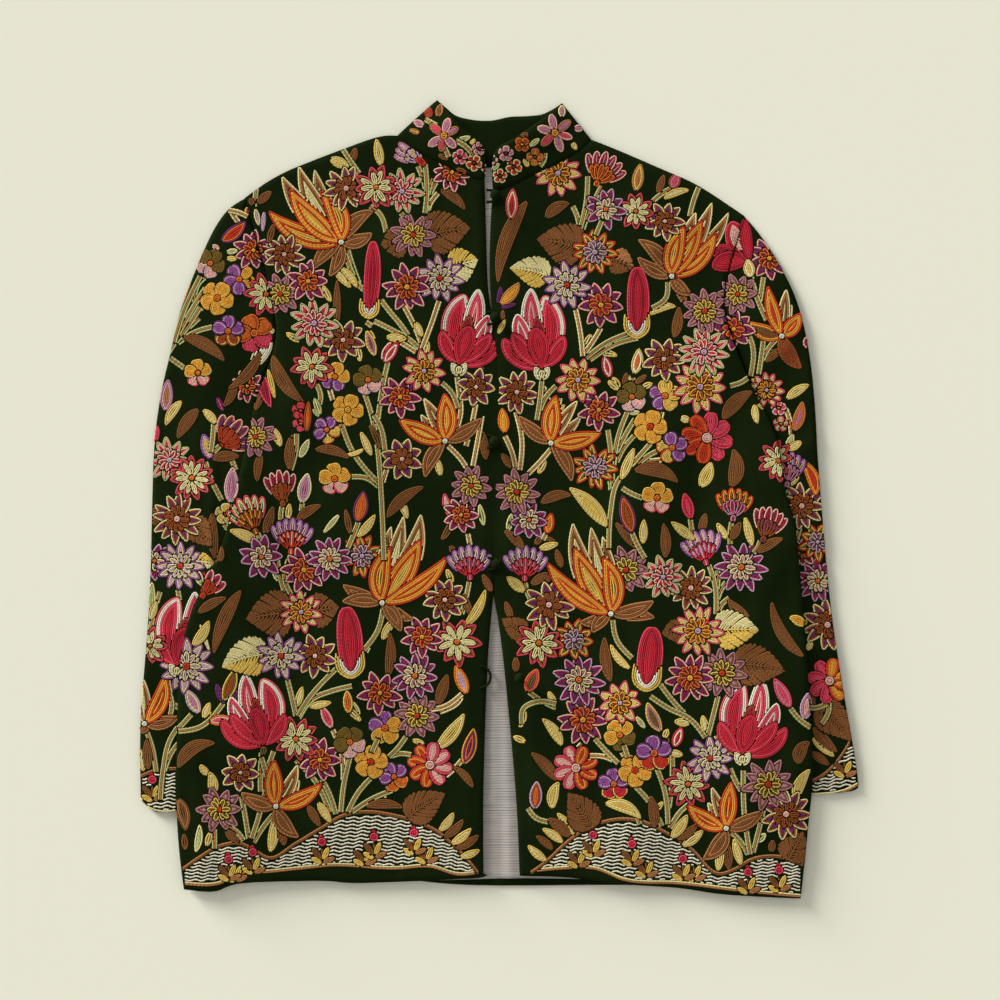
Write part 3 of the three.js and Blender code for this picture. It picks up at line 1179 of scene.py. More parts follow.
def disc(centre: Spot, radius: float, tones: Tones) -> list[Row]:
    """A round spot worked in rings.

    Args:
        centre: Its middle.
        radius: Its radius.
        tones: Wools of the rings, from the outside inwards.

    Returns:
        The rows.
    """
    rows = []
    ring = 0
    reach = radius - 0.5 * ROW
    while reach > 0.35 * ROW:
        turns = np.linspace(0, 2 * math.pi, max(9, int(reach * 6)))
        circle = (centre[0] + reach * np.cos(turns), centre[1] + reach * np.sin(turns))
        rows.append(Row(np.column_stack(circle), tones[min(ring, len(tones) - 1)]))
        reach -= ROW
        ring += 1
    spot = np.array(centre) + np.array([[-1.3, -0.3], [0, 0.3], [1.3, 0.1]])
    rows.append(Row(spot, tones[min(ring, len(tones) - 1)]))
    return rows


def toothed(base: Spot, tip: Spot, width: float, upper: Yarn, lower: Yarn,
            bend: float = 0.0) -> list[Row]:
    """A broad leaf with a toothed edge, its rows fanning out from the midrib.

    Args:
        base: Where it starts.
        tip: Its point.
        width: Its greatest width.
        upper: Wool of the side to the right of the way from base to tip.
        lower: Wool of the other side.
        bend: How far the midrib bulges.

    Returns:
        The rows.
    """
    line = divided(spine_of(base, tip, bend), 1.0)
    aside = sideways(line)
    length = len(line) - 1
    widths = Form.TOOTHED.half_widths(np.linspace(0, 1, len(line))) * width / 2
    rows = []
    step = ROW * 0.6
    for side, yarn in ((1, upper), (-1, lower)):
        index = 0
        reached = 2.0
        while reached < length:
            here = min(length - 1, int(reached))
            tooth = 1.0 + 0.05 * (1, 0.2, -1, -0.4)[index % 4]
            edge = line[here] + side * aside[here] * (widths[here] * tooth)
            behind = max(0, int(reached - 0.85 * widths[here] - 0.12 * reached))
            start = line[behind] + side * aside[behind] * 0.9
            if index % 2:
                start = start + 0.24 * (edge - start)
            bow = (start + edge) / 2 + side * aside[here] * (0.08 * widths[here])
            if np.hypot(*(edge - start)) > 2.0:
                rows.append(Row(curve_through(np.array([start, bow, edge]), 1.2), yarn))
            reached += step
            index += 1
    rows.append(Row(line, upper))
    return rows


def stem(spots: Sequence[Spot], edge: Yarn) -> list[Row]:
    """A stalk of three rows along a smooth curve.

    Args:
        spots: Spots on its way.
        edge: Wool of the two outer rows.

    Returns:
        The rows.
    """
    line = curve_through(np.array(spots, float), 1.4)
    aside = sideways(line) * ROW * 0.98
    return [Row(line, Yarn.TAN), Row(line + aside, edge), Row(line - aside, edge)]


def polar(centre: Spot, radius: float, angle: float) -> Spot:
    """A spot round a centre.

    Args:
        centre: The centre.
        radius: How far from it.
        angle: The angle in degrees, 0 to the right and 90 towards the hem.

    Returns:
        The spot.
    """
    turn = math.radians(angle)
    return centre[0] + radius * math.cos(turn), centre[1] + radius * math.sin(turn)


Part = list[Row]


class Motif:
    """Something worked on the cloth; its parts come top-most first."""

    def parts(self) -> list[Part]:
        """The rows, in parts that cover one another in this order."""
        raise NotImplementedError


class Dyes(Enum):
    """Colour schemes of the daisies.

    Each is the edge, the fill, the second fill, the inner petals, their fill and the centre.
    """

    A = (Yarn.BLUSH, Yarn.CRIMSON, Yarn.PURPLE, Yarn.ORANGE, Yarn.CRIMSON, Yarn.GOLD)
    B = (Yarn.MAUVE, Yarn.OLIVE, Yarn.MAUVE, Yarn.STRAW, Yarn.OLIVE, Yarn.FLAME)
    C = (Yarn.CREAM, Yarn.RUST, Yarn.PURPLE, Yarn.RUST, Yarn.BROWN, Yarn.BLUSH)
    D = (Yarn.LILAC, Yarn.CRIMSON, Yarn.PURPLE, Yarn.CREAM, Yarn.MAUVE, Yarn.ORANGE)
    E = (Yarn.ROSE, Yarn.RUST, Yarn.RUST, Yarn.CREAM, Yarn.CREAM, Yarn.ORANGE)
    F = (Yarn.FLAME, Yarn.STRAW, Yarn.OLIVE, Yarn.LILAC, Yarn.OLIVE, Yarn.LILAC)
    G = (Yarn.IRIS, Yarn.CREAM, Yarn.LILAC, Yarn.CREAM, Yarn.LILAC, Yarn.FLAME)
    H = (Yarn.SAGE, Yarn.BLUSH, Yarn.RED, Yarn.BLUSH, Yarn.RED, Yarn.LILAC)
    I = (Yarn.ROSE, Yarn.CREAM, Yarn.STRAW, Yarn.GOLD, Yarn.RUST, Yarn.LILAC)


@dataclass(frozen=True)
class Daisy(Motif):
    """A two-tier daisy with pointed petals."""

    x: float
    y: float
    radius: float
    dyes: Dyes
    petals: int = 10
    turn: float = 0.0

    def parts(self) -> list[Part]:
        """Centre, inner tier, then outer petals.

        Returns:
            The rows, in parts that cover one another in this order.
        """
        edge, fill, second, inner_edge, inner_fill, eye = self.dyes.value
        centre, r = (self.x, self.y), self.radius
        step = 360 / self.petals
        wide = 2 * math.pi * r / self.petals
        found = [disc(centre, max(1.9, 0.13 * r), (eye,))]
        outer = []
        for index in range(self.petals):
            angle = self.turn + index * step + 4 * math.sin(index * 2.7 + self.y)
            sway = 0.04 * math.sin(index * 2.4 + self.x)
            reach = r * (1.09 + 0.07 * math.sin(index * 3.1 + self.y))
            inner = 0.74 if self.dyes is Dyes.E else 0.52
            found.append(blade(centre, polar(centre, inner * reach, angle), 0.40 * wide,
                               (inner_edge, inner_fill), Form.PETAL, sway, FINE))
            outer.append(blade(polar(centre, 0.1 * r, angle), polar(centre, reach, angle),
                               0.74 * wide, (edge, fill, second), Form.STAR, sway, FINE))
        return found + outer


@dataclass(frozen=True)
class Leaf(Motif):
    """A slender leaf."""

    base: Spot
    tip: Spot
    width: float
    tones: Tones
    bend: float = 0.0

    def parts(self) -> list[Part]:
        """One blade."""
        return [blade(self.base, self.tip, self.width, self.tones, Form.LEAF, self.bend)]


@dataclass(frozen=True)
class ToothLeaf(Motif):
    """A broad toothed leaf."""

    base: Spot
    tip: Spot
    width: float
    upper: Yarn
    lower: Yarn
    bend: float = 0.0

    def parts(self) -> list[Part]:
        """One fan of rows on each side of the midrib."""
        return [toothed(self.base, self.tip, self.width, self.upper, self.lower, self.bend)]


@dataclass(frozen=True)
class Stem(Motif):
    """A stalk through several spots."""

    spots: tuple[Spot, ...]
    edge: Yarn

    def parts(self) -> list[Part]:
        """Its rows."""
        return [stem(self.spots, self.edge)]


@dataclass(frozen=True)
class Burst(Motif):
    """Petals that start from one place and each reach its own tip.

    Each petal is a tip x and y, a width, a bend and its tones; the first is on top.
    """

    base: Spot
    petals: tuple[tuple[float, float, float, float, Tones], ...]
    form: Form = Form.LEAF
    knob: float = 0.0
    knob_yarn: Yarn = Yarn.CREAM

    def parts(self) -> list[Part]:
        """The knob and the petals.

        Returns:
            The rows, in parts that cover one another in this order.
        """
        found = [disc(self.base, self.knob, (self.knob_yarn,))] if self.knob else []
        for x, y, width, bend, tones in self.petals:
            found.append(blade(self.base, (x, y), width, tones, self.form, bend))
        return found


@dataclass(frozen=True)
class Rosette(Motif):
    """A small flower of round petals; two sets of tones alternate or part it in halves."""

    x: float
    y: float
    radius: float
    tones: Tones
    other: Tones = ()
    eye: Yarn = Yarn.ORANGE
    petals: int = 5
    turn: float = -90.0
    split: bool = False

    def parts(self) -> list[Part]:
        """The eye and the petals.

        Returns:
            The rows, in parts that cover one another in this order.
        """
        centre, r = (self.x, self.y), self.radius
        found = [disc(centre, max(1.8, 0.2 * r), (self.eye,))]
        wide = 2 * math.pi * 0.62 * r / self.petals * 1.06
        for index in range(self.petals):
            angle = self.turn + index * 360 / self.petals
            second = index * 2 >= self.petals if self.split else index % 2 == 1
            tones = self.other if self.other and second else self.tones
            found.append(blade(polar(centre, 0.06 * r, angle), polar(centre, r, angle),
                               min(1.12 * wide, 0.95 * r), tones, Form.ROUND, 0.02, FINE))
        return found


@dataclass(frozen=True)
class Fan(Motif):
    """A half-open flower: a cup and petals that spread from it."""

    x: float
    y: float
    reach: float
    aim: float
    spread: float
    tones: Tones
    cup: Tones = (Yarn.STRAW,)
    petals: int = 5
    width: float = 6.5

    def parts(self) -> list[Part]:
        """The short petals in front, then the long ones from the middle outwards.

        Returns:
            The rows, in parts that cover one another in this order.
        """
        base = (self.x, self.y)
        found = [blade(polar(base, 4.0, self.aim + 180), polar(base, 3.0, self.aim), 6.0,
                       self.cup, Form.OVAL)]
        order = sorted(range(self.petals), key=lambda i: abs(i - (self.petals - 1) / 2))
        for reach, width, tones in ((0.62, 0.62, self.cup), (1.0, 1.0, self.tones)):
            for index in order:
                share = index / max(1, self.petals - 1) - 0.5
                angle = self.aim + share * self.spread
                tip = polar(base, self.reach * reach * (1 - 0.12 * abs(share)), angle)
                found.append(blade(base, tip, self.width * width, tones, Form.DROP,
                                   0.08 * share, FINE))
        return found


@dataclass(frozen=True)
class Bud(Motif):
    """A closed bud: an inner blade between two sepals."""

    base: Spot
    tip: Spot
    width: float
    tones: Tones
    sepals: Tones = (Yarn.TAN,)

    def parts(self) -> list[Part]:
        """The bud and the sepals that hug it.

        Returns:
            The rows, in parts that cover one another in this order.
        """
        base, tip = np.array(self.base, float), np.array(self.tip, float)
        run = tip - base
        side = np.array([-run[1], run[0]]) / float(np.hypot(*run)) * self.width
        found = [blade(self.base, self.tip, self.width, self.tones, Form.LEAF)]
        for way in (1, -1):
            end = base + 0.5 * run + side * 0.62 * way
            found.append(blade(self.base, tuple(end), 0.42 * self.width + 1.2, self.sepals,
                               Form.LEAF, -0.16 * way))
        return found


@dataclass(frozen=True)
class Tulip(Motif):
    """A big tulip from a small cup: plain petals in front, striped ones behind.

    way is 1 when the highest tip leans left and -1 when it leans right.
    """

    x: float
    y: float
    height: float
    way: int = 1
    turn: float = 0.0
    cup: Yarn = Yarn.CREAM
    breadth: float = 1.0

    def parts(self) -> list[Part]:
        """The cup, the front petals, then the back ones.

        Returns:
            The rows, in parts that cover one another in this order.
        """
        plain = (Yarn.RED, Yarn.ROSE, Yarn.RED, Yarn.RED)
        dark = (Yarn.RED, Yarn.RED, Yarn.CRIMSON, Yarn.RED)
        core = (Yarn.RUST, Yarn.CRIMSON)
        edged = (Yarn.WHITE, Yarn.WHITE, Yarn.ROSE, Yarn.ROSE, Yarn.BLUSH, Yarn.ROSE)
        striped = (Yarn.WHITE, Yarn.ROSE, Yarn.ROSE, Yarn.WHITE, Yarn.ROSE)
        lined = (Yarn.ROSE, Yarn.WHITE, Yarn.WHITE, Yarn.ROSE, Yarn.ROSE, Yarn.RED)
        base = (self.x, self.y)
        found = [blade(polar(base, 11, 90), polar(base, 1, 90), 7, (self.cup,), Form.DROP)]
        if self.cup is Yarn.CREAM:
            found += [blade(polar(base, 11, 90), polar(base, 8, angle), 9,
                            (Yarn.CREAM, Yarn.WHITE)) for angle in (-160, -20)]
        turn = math.radians(self.turn)
        for across, up, width, bend, tones in (
            (-0.13, 0.50, 0.26, 0.03, dark), (-0.44, 0.42, 0.20, -0.06, plain),
            (0.28, 0.42, 0.20, 0.10, plain), (-0.56, 0.35, 0.22, -0.16, plain),
            (-0.13, 0.63, 0.18, 0.02, core), (-0.44, 0.66, 0.24, -0.10, striped),
            (-0.24, 0.98, 0.27, -0.06, edged), (-0.03, 0.90, 0.36, 0.15, lined),
        ):
            narrow = self.breadth if up > 0.5 else 0.5 * (1 + self.breadth)
            x, y = self.way * across * narrow * self.height, -up * self.height
            spot = (self.x + x * math.cos(turn) - y * math.sin(turn),
                    self.y + x * math.sin(turn) + y * math.cos(turn))
            found.append(blade(base, spot, width * self.height, tones, Form.PETAL,
                               self.way * bend * self.breadth))
        return found


@dataclass(frozen=True)
class Pod(Motif):
    """A long red pod whose foot sits in a yellow and white cup."""

    base: Spot
    tip: Spot
    width: float

    def parts(self) -> list[Part]:
        """The cup, then the pod.

        Returns:
            The rows, in parts that cover one another in this order.
        """
        foot, tip = np.array(self.base, float), np.array(self.tip, float)
        up = (tip - foot) / float(np.hypot(*(tip - foot)))
        side = np.array([-up[1], up[0]])
        half = self.width / 2
        cup = []
        for ring, yarn in enumerate((Yarn.STRAW, Yarn.STRAW, Yarn.WHITE, Yarn.WHITE)):
            inset = ring * ROW
            arm = half + 0.4 - inset
            rise = 7 + 0.42 * self.width - 1.6 * inset
            drop = up * (0.1 * half - inset)
            spots = np.array([
                foot - side * arm + up * rise, foot - side * arm * 0.86 - drop,
                foot - up * (0.62 * half - inset), foot + side * arm * 0.86 - drop,
                foot + side * arm + up * rise])
            cup.append(Row(curve_through(spots, 1.2), yarn))
        deep = tuple(foot - up * (0.45 * half))
        tones = (Yarn.ROSE, Yarn.RED, Yarn.RED, Yarn.CRIMSON, Yarn.RED)
        pod = blade(deep, self.tip, self.width, tones, Form.OVAL, 0.02)
        return [cup, pod]


@dataclass
class LaidRow:
    """A run of stitches lying on one piece of cloth, in metres."""

    points: list[tuple[float, float, float]]
    colour: Colour
    half_width: float


class Sampler:
    """Lays rows on the cloth; what is laid first covers what comes later."""

    CELL = 0.5 * MM
    STEP = 1.0 * MM
    LOW = (-0.380, -0.430)
    SHAPE = (1700, 1520)
    RIM = 3  # cells kept free round the raster
    REACH = 1.22 * MM  # how far a laid row keeps others away
    FACES_UP = 0.2
    TINT = 0.09  # how far a row's shade may differ from its wool's
    JUMP = 1.6 * MM  # greatest step in height that a row goes over

    def __init__(self, cloths: Sequence[bpy.types.Object]) -> None:
        """Take the pieces of cloth that may be stitched or that cover others.

        Args:
            cloths: The finished pieces.
        """
        self.taken = np.zeros(self.SHAPE, bool)
        self.dice = random.Random(SEED)
        self.laid: dict[str, list[LaidRow]] = {cloth.name: [] for cloth in cloths}
        points, faces, self.owners = [], [], []
        for cloth in cloths:
            shift = len(points)
            points += [v.co.copy() for v in cloth.data.vertices]
            for polygon in cloth.data.polygons:
                if polygon.normal.z > self.FACES_UP:
                    faces.append([shift + i for i in polygon.vertices])
                    self.owners.append(cloth.name)
        self.tree = BVHTree.FromPolygons(points, faces)
        reach = self.REACH / self.CELL
        span = range(-self.RIM, self.RIM + 1)
        stamp = [(j, i) for j in span for i in span if i * i + j * j <= reach ** 2]
        self.stamp = np.array(stamp)

    def _cells(self, ground: Array) -> tuple[Array, Array]:
        """Find the raster cells of places.

        Args:
            ground: Places in metres, one in each row.

        Returns:
            The rows and the columns of their cells.
        """
        columns, rows = ((ground - np.array(self.LOW)) / self.CELL).astype(int).T
        last_row, last_column = self.SHAPE[0] - 1 - self.RIM, self.SHAPE[1] - 1 - self.RIM
        return np.clip(rows, self.RIM, last_row), np.clip(columns, self.RIM, last_column)

    def work(self, cloth: str, motifs: Iterable[Motif]) -> None:
        """Stitch motifs on one piece of cloth.

        Args:
            cloth: The piece's name.
            motifs: The motifs, top-most first.
        """
        for motif in motifs:
            for part in motif.parts():
                self._lay(cloth, part)

    def _lay(self, cloth: str, part: Part) -> None:
        """Lay one part where nothing lies yet, then mark its ground as taken.

        Args:
            cloth: The piece's name.
            part: The rows of the part.
        """
        kept = []
        for row in part:
            ground = divided(on_cloth(row.line), self.STEP)
            free = ~self.taken[self._cells(ground)]
            tint = 1 + self.dice.uniform(-self.TINT, self.TINT)
            colour = tuple(min(1.0, channel * tint) for channel in row.yarn.shade)
            run: list[tuple[float, float, float]] = []
            for (x, y), clear in zip(ground, free):
                spot = self._touch(cloth, x, y) if clear else None
                if spot is not None and (not run or abs(spot[2] - run[-1][2]) < self.JUMP):
                    run.append(spot)
                    kept.append((x, y))
                    continue
                self._keep(cloth, run, colour, row.half_width)
                run = [spot] if spot is not None else []
            self._keep(cloth, run, colour, row.half_width)
        if kept:
            rows, columns = self._cells(np.array(kept))
            for j, i in self.stamp:
                self.taken[rows + j, columns + i] = True

    def _touch(self, cloth: str, x: float, y: float) -> tuple[float, float, float] | None:
        """Find the top of the cloth.

        Args:
            cloth: The piece's name.
            x: Where to look, in metres.
            y: Where to look, in metres.

        Returns:
            The place there, or None if another piece or nothing lies on top.
        """
        hit, _, face, _ = self.tree.ray_cast(Vector((x, y, 1)), Vector((0, 0, -1)))
        if hit is None or self.owners[face] != cloth:
            return None
        return x, y, hit.z

    def _keep(self, cloth: str, run: list, colour: Colour, half_width: float) -> None:
        """Keep a run that is long enough to see."""
        if len(run) > 2:
            self.laid[cloth].append(LaidRow(run, colour, half_width))

    def finish(self, cloth: str, name: str, stitcher: "ChainStitch",
               choose: Callable[[LaidRow], bool] = lambda row: True) -> bpy.types.Object:
        """Turn the rows of one piece of cloth into stitches.

        Args:
            cloth: The piece's name.
            name: The new object's name.
            stitcher: What makes the stitches.
            choose: Which of the rows to take.

        Returns:
            The embroidery.
        """
        rows = [row for row in self.laid[cloth] if choose(row)]
        made = stitcher.make(name, rows)
        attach(made, "root")
        LOG.info("%s: %d rows, %.1f m, %d triangles", name, len(rows),
                 sum(len(row.points) for row in rows) * self.STEP,
                 sum(len(p.vertices) - 2 for p in made.data.polygons))
        return made


@dataclass
class ChainStitch:
    """Makes rows of chain stitch with a node tree."""

    finish: bpy.types.Material
    stitch: float = 1.8 * MM
    height: float = 0.62
    pinch: float = 0.24
    uneven: float = 0.08
    seed: int = 5

    def __post_init__(self) -> None:
        """Build the node tree."""
        tree = bpy.data.node_groups.new("chain_stitch", "GeometryNodeTree")
        tree.is_modifier = True
        sockets = tree.interface
        sockets.new_socket("Rows", in_out="INPUT", socket_type="NodeSocketGeometry")
        self.inputs = {
            name: sockets.new_socket(name, in_out="INPUT", socket_type=kind).identifier
            for name, kind in (("Stitch", "NodeSocketFloat"), ("Height", "NodeSocketFloat"),
                               ("Pinch", "NodeSocketFloat"), ("Seed", "NodeSocketInt"))
        }
        sockets.new_socket("Stitches", in_out="OUTPUT", socket_type="NodeSocketGeometry")
        self.tree = tree
        source = tree.nodes.new("NodeGroupInput").outputs
        curve = self._node("GeometryNodeMeshToCurve", {}, {"Mesh": source["Rows"]})
        curve = self._node("GeometryNodeResampleCurve", {"mode": "LENGTH"},
                           {"Curve": curve, "Length": source["Stitch"]})
        curve = self._node("GeometryNodeSetCurveNormal", {"mode": "Z_UP"}, {"Curve": curve})
        number = self._node("GeometryNodeInputIndex")
        odd = self._maths("MODULO", number, 2.0)
        along = self._maths("MULTIPLY", number, 0.5)
        chance = self._node("FunctionNodeRandomValue", {"data_type": "FLOAT"},
                            {2: 1 - self.uneven, 3: 1 + self.uneven, "Seed": source["Seed"]},
                            output=1)
        wide = self._node("GeometryNodeInputNamedAttribute", {"data_type": "FLOAT"},
                          {"Name": "wide"})
        narrow = self._maths("SUBTRACT", 1.0, self._maths("MULTIPLY", odd, source["Pinch"]))
        scale = self._maths("MULTIPLY", wide, self._maths("MULTIPLY", narrow, chance))
        curve = self._store(curve, "along", along)
        rise = self._maths("MULTIPLY", source["Height"], -2.0)
        crest = self._node("ShaderNodeCombineXYZ", {}, {1: rise})
        arch = self._node("GeometryNodeCurveQuadraticBezier", {},
                          {"Resolution": 2, "Start": (-1, 0, 0), "Middle": crest, "End": (1, 0, 0)})
        spot = self._node("GeometryNodeInputPosition")
        arch = self._store(arch, "across", self._node("ShaderNodeSeparateXYZ", {}, {0: spot}))
        mesh = self._node("GeometryNodeCurveToMesh", {}, {
            "Curve": curve, "Profile Curve": arch, "Scale": scale, "Fill Caps": False})
        mesh = self._node("GeometryNodeSetMaterial", {},
                          {"Geometry": mesh, "Material": self.finish})
        mesh = self._node("GeometryNodeRealizeInstances", {}, {"Geometry": mesh})
        sink = tree.nodes.new("NodeGroupOutput")
        tree.links.new(mesh, sink.inputs[0])

    def _node(self, kind: str, settings: dict | None = None, inputs: dict | None = None,
              output: int = 0) -> bpy.types.NodeSocket:
        """Add a node.

        Args:
            kind: Its type.
            settings: Its properties.
            inputs: Values or sockets for its inputs.
            output: Which output to give.

        Returns:
            That output's socket.
        """
        made = self.tree.nodes.new(kind)
        for key, value in (settings or {}).items():
            setattr(made, key, value)
        for key, value in (inputs or {}).items():
            if isinstance(value, bpy.types.NodeSocket):
                self.tree.links.new(value, made.inputs[key])
            else:
                made.inputs[key].default_value = value
        return made.outputs[output]

    def _store(self, geometry: object, name: str, value: object) -> bpy.types.NodeSocket:
        """Store a number at each point under a name."""
        return self._node("GeometryNodeStoreNamedAttribute",
                          {"data_type": "FLOAT", "domain": "POINT"},
                          {"Geometry": geometry, "Name": name, "Value": value})

    def _maths(self, operation: str, first: object, second: object) -> bpy.types.NodeSocket:
        """Add a Math node."""
        return self._node("ShaderNodeMath", {"operation": operation}, {0: first, 1: second})

    def make(self, name: str, rows: Sequence[LaidRow]) -> bpy.types.Object:
        """Stitch rows as one object.

        Args:
            name: The object's name.
            rows: The rows.

        Returns:
            A plain mesh object, with the tree already applied.
        """
        points, edges, colours, widths = [], [], [], []
        for row in rows:
            start = len(points)
            points += row.points
            edges += [(start + i, start + i + 1) for i in range(len(row.points) - 1)]
            colours += [(*row.colour, 1.0)] * len(row.points)
            widths += [row.half_width] * len(row.points)
        guide = bpy.data.meshes.new(name + "_guide")
        guide.from_pydata(points, edges, [])
        guide.attributes.new("yarn", "FLOAT_COLOR", "POINT").data.foreach_set(
            "color", np.array(colours, np.float32).ravel())
        guide.attributes.new("wide", "FLOAT", "POINT").data.foreach_set(
            "value", np.array(widths, np.float32))
        made = bpy.data.objects.new(name, guide)
        bpy.context.scene.collection.objects.link(made)
        modifier = made.modifiers.new("stitches", "NODES")
        modifier.node_group = self.tree
        for key, value in (("Stitch", self.stitch), ("Height", self.height),
                           ("Pinch", self.pinch), ("Seed", self.seed)):
            modifier[self.inputs[key]] = value
        bpy.context.view_layer.update()
        evaluated = made.evaluated_get(bpy.context.evaluated_depsgraph_get())
        plain = bpy.data.meshes.new_from_object(evaluated)
        made.modifiers.clear()
        plain.name = name
        made.data = plain
        self._tidy(plain)
        return made

    @staticmethod
    def _tidy(mesh: bpy.types.Mesh) -> None:
        """Smooth the stitches, turn them face up and give them a flat map.

        Args:
            mesh: The stitches' mesh.
        """
        normals = np.empty(len(mesh.polygons) * 3)
        mesh.polygons.foreach_get("normal", normals)
        if normals[2::3].mean() < 0:
            mesh.flip_normals()
        mesh.polygons.foreach_set("use_smooth", [True] * len(mesh.polygons))
        places = np.empty(len(mesh.vertices) * 3)
        mesh.vertices.foreach_get("co", places)
        places = places.reshape(-1, 3)[:, :2]
        low, high = places.min(axis=0), places.max(axis=0)
        corners = np.empty(len(mesh.loops), np.int32)
        mesh.loops.foreach_get("vertex_index", corners)
        flat = 0.01 + 0.98 * (places - low) / float((high - low).max())
        flat = flat[corners].astype(np.float32)
        mesh.uv_layers.new(name="OFBake").data.foreach_set("uv", flat.ravel())


@dataclass(frozen=True)
class Hill(Motif):
    """Striped hills along a hem: a ridge, wavy rows and small sprigs.

    ridge and foot are the upper and the lower line; sprigs are small red
    flowers and tufts are leaf pairs, both standing on the stripes.
    """

    ridge: tuple[Spot, ...]
    foot: tuple[Spot, ...]
    sprigs: tuple[Spot, ...] = ()
    tufts: tuple[Spot, ...] = ()
    pitch: float = 3.65
    stripe: float = 0.84 * MM
    flattening: float = 14

    def parts(self) -> list[Part]:
        """Sprigs first, then the two lines, then the stripes between them.

        Returns:
            The rows, in parts that cover one another in this order.
        """
        found: list[Part] = []
        for x, y in self.sprigs:
            found.append(disc((x, y - 3), 4.4, (Yarn.ROSE, Yarn.RED)))
            found.append(blade((x, y), (x - 1, y - 11), 6.5, (Yarn.RED,), Form.LEAF))
            found += self._leaves(x, y + 3)
        for x, y in self.tufts:
            found += self._leaves(x, y)
        ridge = curve_through(np.array(self.ridge, float), 2.0)
        foot = curve_through(np.array(self.foot, float), 2.0)
        found.append([Row(ridge, Yarn.TAN), Row(ridge + np.array([0, ROW]), Yarn.BROWN)])
        found.append([Row(foot, Yarn.TAN), Row(foot - np.array([0, ROW]), Yarn.CREAM)])
        left, right = min(ridge[0, 0], foot[0, 0]), max(ridge[-1, 0], foot[-1, 0])
        columns = np.arange(left + 2, right - 2, 1.0)
        top = np.interp(columns, ridge[:, 0], ridge[:, 1]) + 2.6
        low = np.interp(columns, foot[:, 0], foot[:, 1]) - 1.4
        stripes: Part = []
        line = float(top.min())
        index = 0
        while line < low.max():
            wave = 0.8 * np.sin(columns / 1.9 + index * 0.5)
            wave = wave + 0.5 * np.sin(columns / 5.1 + index * 0.35)
            sag = 0.30 * (top - top.min())
            heights = line + wave + sag * math.exp(-index / self.flattening)
            held = (heights > top + 1.2) & (heights < low - 1.0)
            starts = np.flatnonzero(np.diff(np.concatenate([[0], held.astype(int), [0]])))
            for start, end in zip(starts[::2], starts[1::2]):
                if end - start > 4:
                    run = np.column_stack([columns[start:end], heights[start:end]])
                    stripes.append(Row(run, Yarn.WHITE, self.stripe))
            line += self.pitch
            index += 1
        found.append(stripes)
        return found

    @staticmethod
    def _leaves(x: float, y: float) -> list[Part]:
        """Four small leaves, brown and yellow, below a spot.

        Args:
            x: The spot's x on the chart.
            y: The spot's y on the chart.

        Returns:
            The leaves and their stalk.
        """
        return [
            blade((x, y + 12), (x - 11, y - 1), 6.0, (Yarn.BROWN,)),
            blade((x + 1, y + 12), (x + 7, y - 2), 6.0, (Yarn.STRAW,)),
            blade((x, y + 16), (x - 12, y + 9), 5.6, (Yarn.STRAW,)),
            blade((x + 1, y + 15), (x + 14, y + 9), 5.6, (Yarn.TAN,)),
            [Row(np.array([(x, y + 1.0), (x, y + 15.0)]), Yarn.BROWN)],
        ]


# ------------------------------------------------------------------- the chart
# Tones of rows, from the edge of a petal or leaf inwards.
LILY = (Y.FLAME, Y.GOLD, Y.GOLD, Y.FLAME, Y.GOLD, Y.STRAW)
LILY_BACK = (Y.CREAM, Y.TAN, Y.BROWN, Y.CREAM)
SEPAL = (Y.TAN, Y.BROWN, Y.TAN, Y.BROWN)
BARK = (Y.BROWN,)
MOSS = (Y.OLIVE,)
HAY = (Y.STRAW, Y.CREAM, Y.STRAW)
PALE = (Y.CREAM, Y.SAGE)
FLAX = (Y.STRAW, Y.ORANGE)
HONEY = (Y.STRAW, Y.GOLD)
BUTTER = (Y.GOLD, Y.STRAW, Y.GOLD)
PANSY = (Y.PURPLE, Y.LILAC, Y.IRIS)
HEATHER = (Y.LILAC, Y.BLUSH)
DUSK = (Y.BLUSH, Y.MAUVE)
DAWN = (Y.BLUSH, Y.ROSE)
BERRY = (Y.BLUSH, Y.CRIMSON)
PEACH = (Y.ROSE, Y.BLUSH)
CHERRY = (Y.ROSE, Y.RED, Y.ROSE)

Petals = tuple[tuple[float, float, float, float], ...]


def stalk(*spots: Spot, edge: Yarn = Y.SAGE) -> Stem:
    """A stem through the spots, green unless another wool is named."""
    return Stem(spots, edge)


def lily(base: Spot, petals: Petals, sepals: Petals, backs: Petals) -> Burst:
    """A long-petalled lily with its sepals and pale back petals.

    Args:
        base: Where all petals start.
        petals: Tip x and y, width and bend of each front petal.
        sepals: The same for the brown sepals.
        backs: The same for the petals behind.

    Returns:
        The flower.
    """
    groups = ((petals, LILY), (sepals, SEPAL), (backs, LILY_BACK))
    return Burst(base, tuple((*petal, tones) for group, tones in groups for petal in group),
                 Form.LEAF, 3.0, Y.WHITE)


def pansy(x: float, y: float, radius: float, tones: Tones, other: Tones,
          turn: float = -60.0) -> Rosette:
    """A five-petalled pansy parted into two colours."""
    return Rosette(x, y, radius, tones, other, Y.ORANGE, 5, turn, split=True)


def pinwheel(x: float, y: float, radius: float, tones: Tones, other: Tones,
             turn: float) -> Rosette:
    """A round flower of eight petals, one half in each colour."""
    return Rosette(x, y, radius, tones, other, Y.BLUSH, 8, turn, split=True)


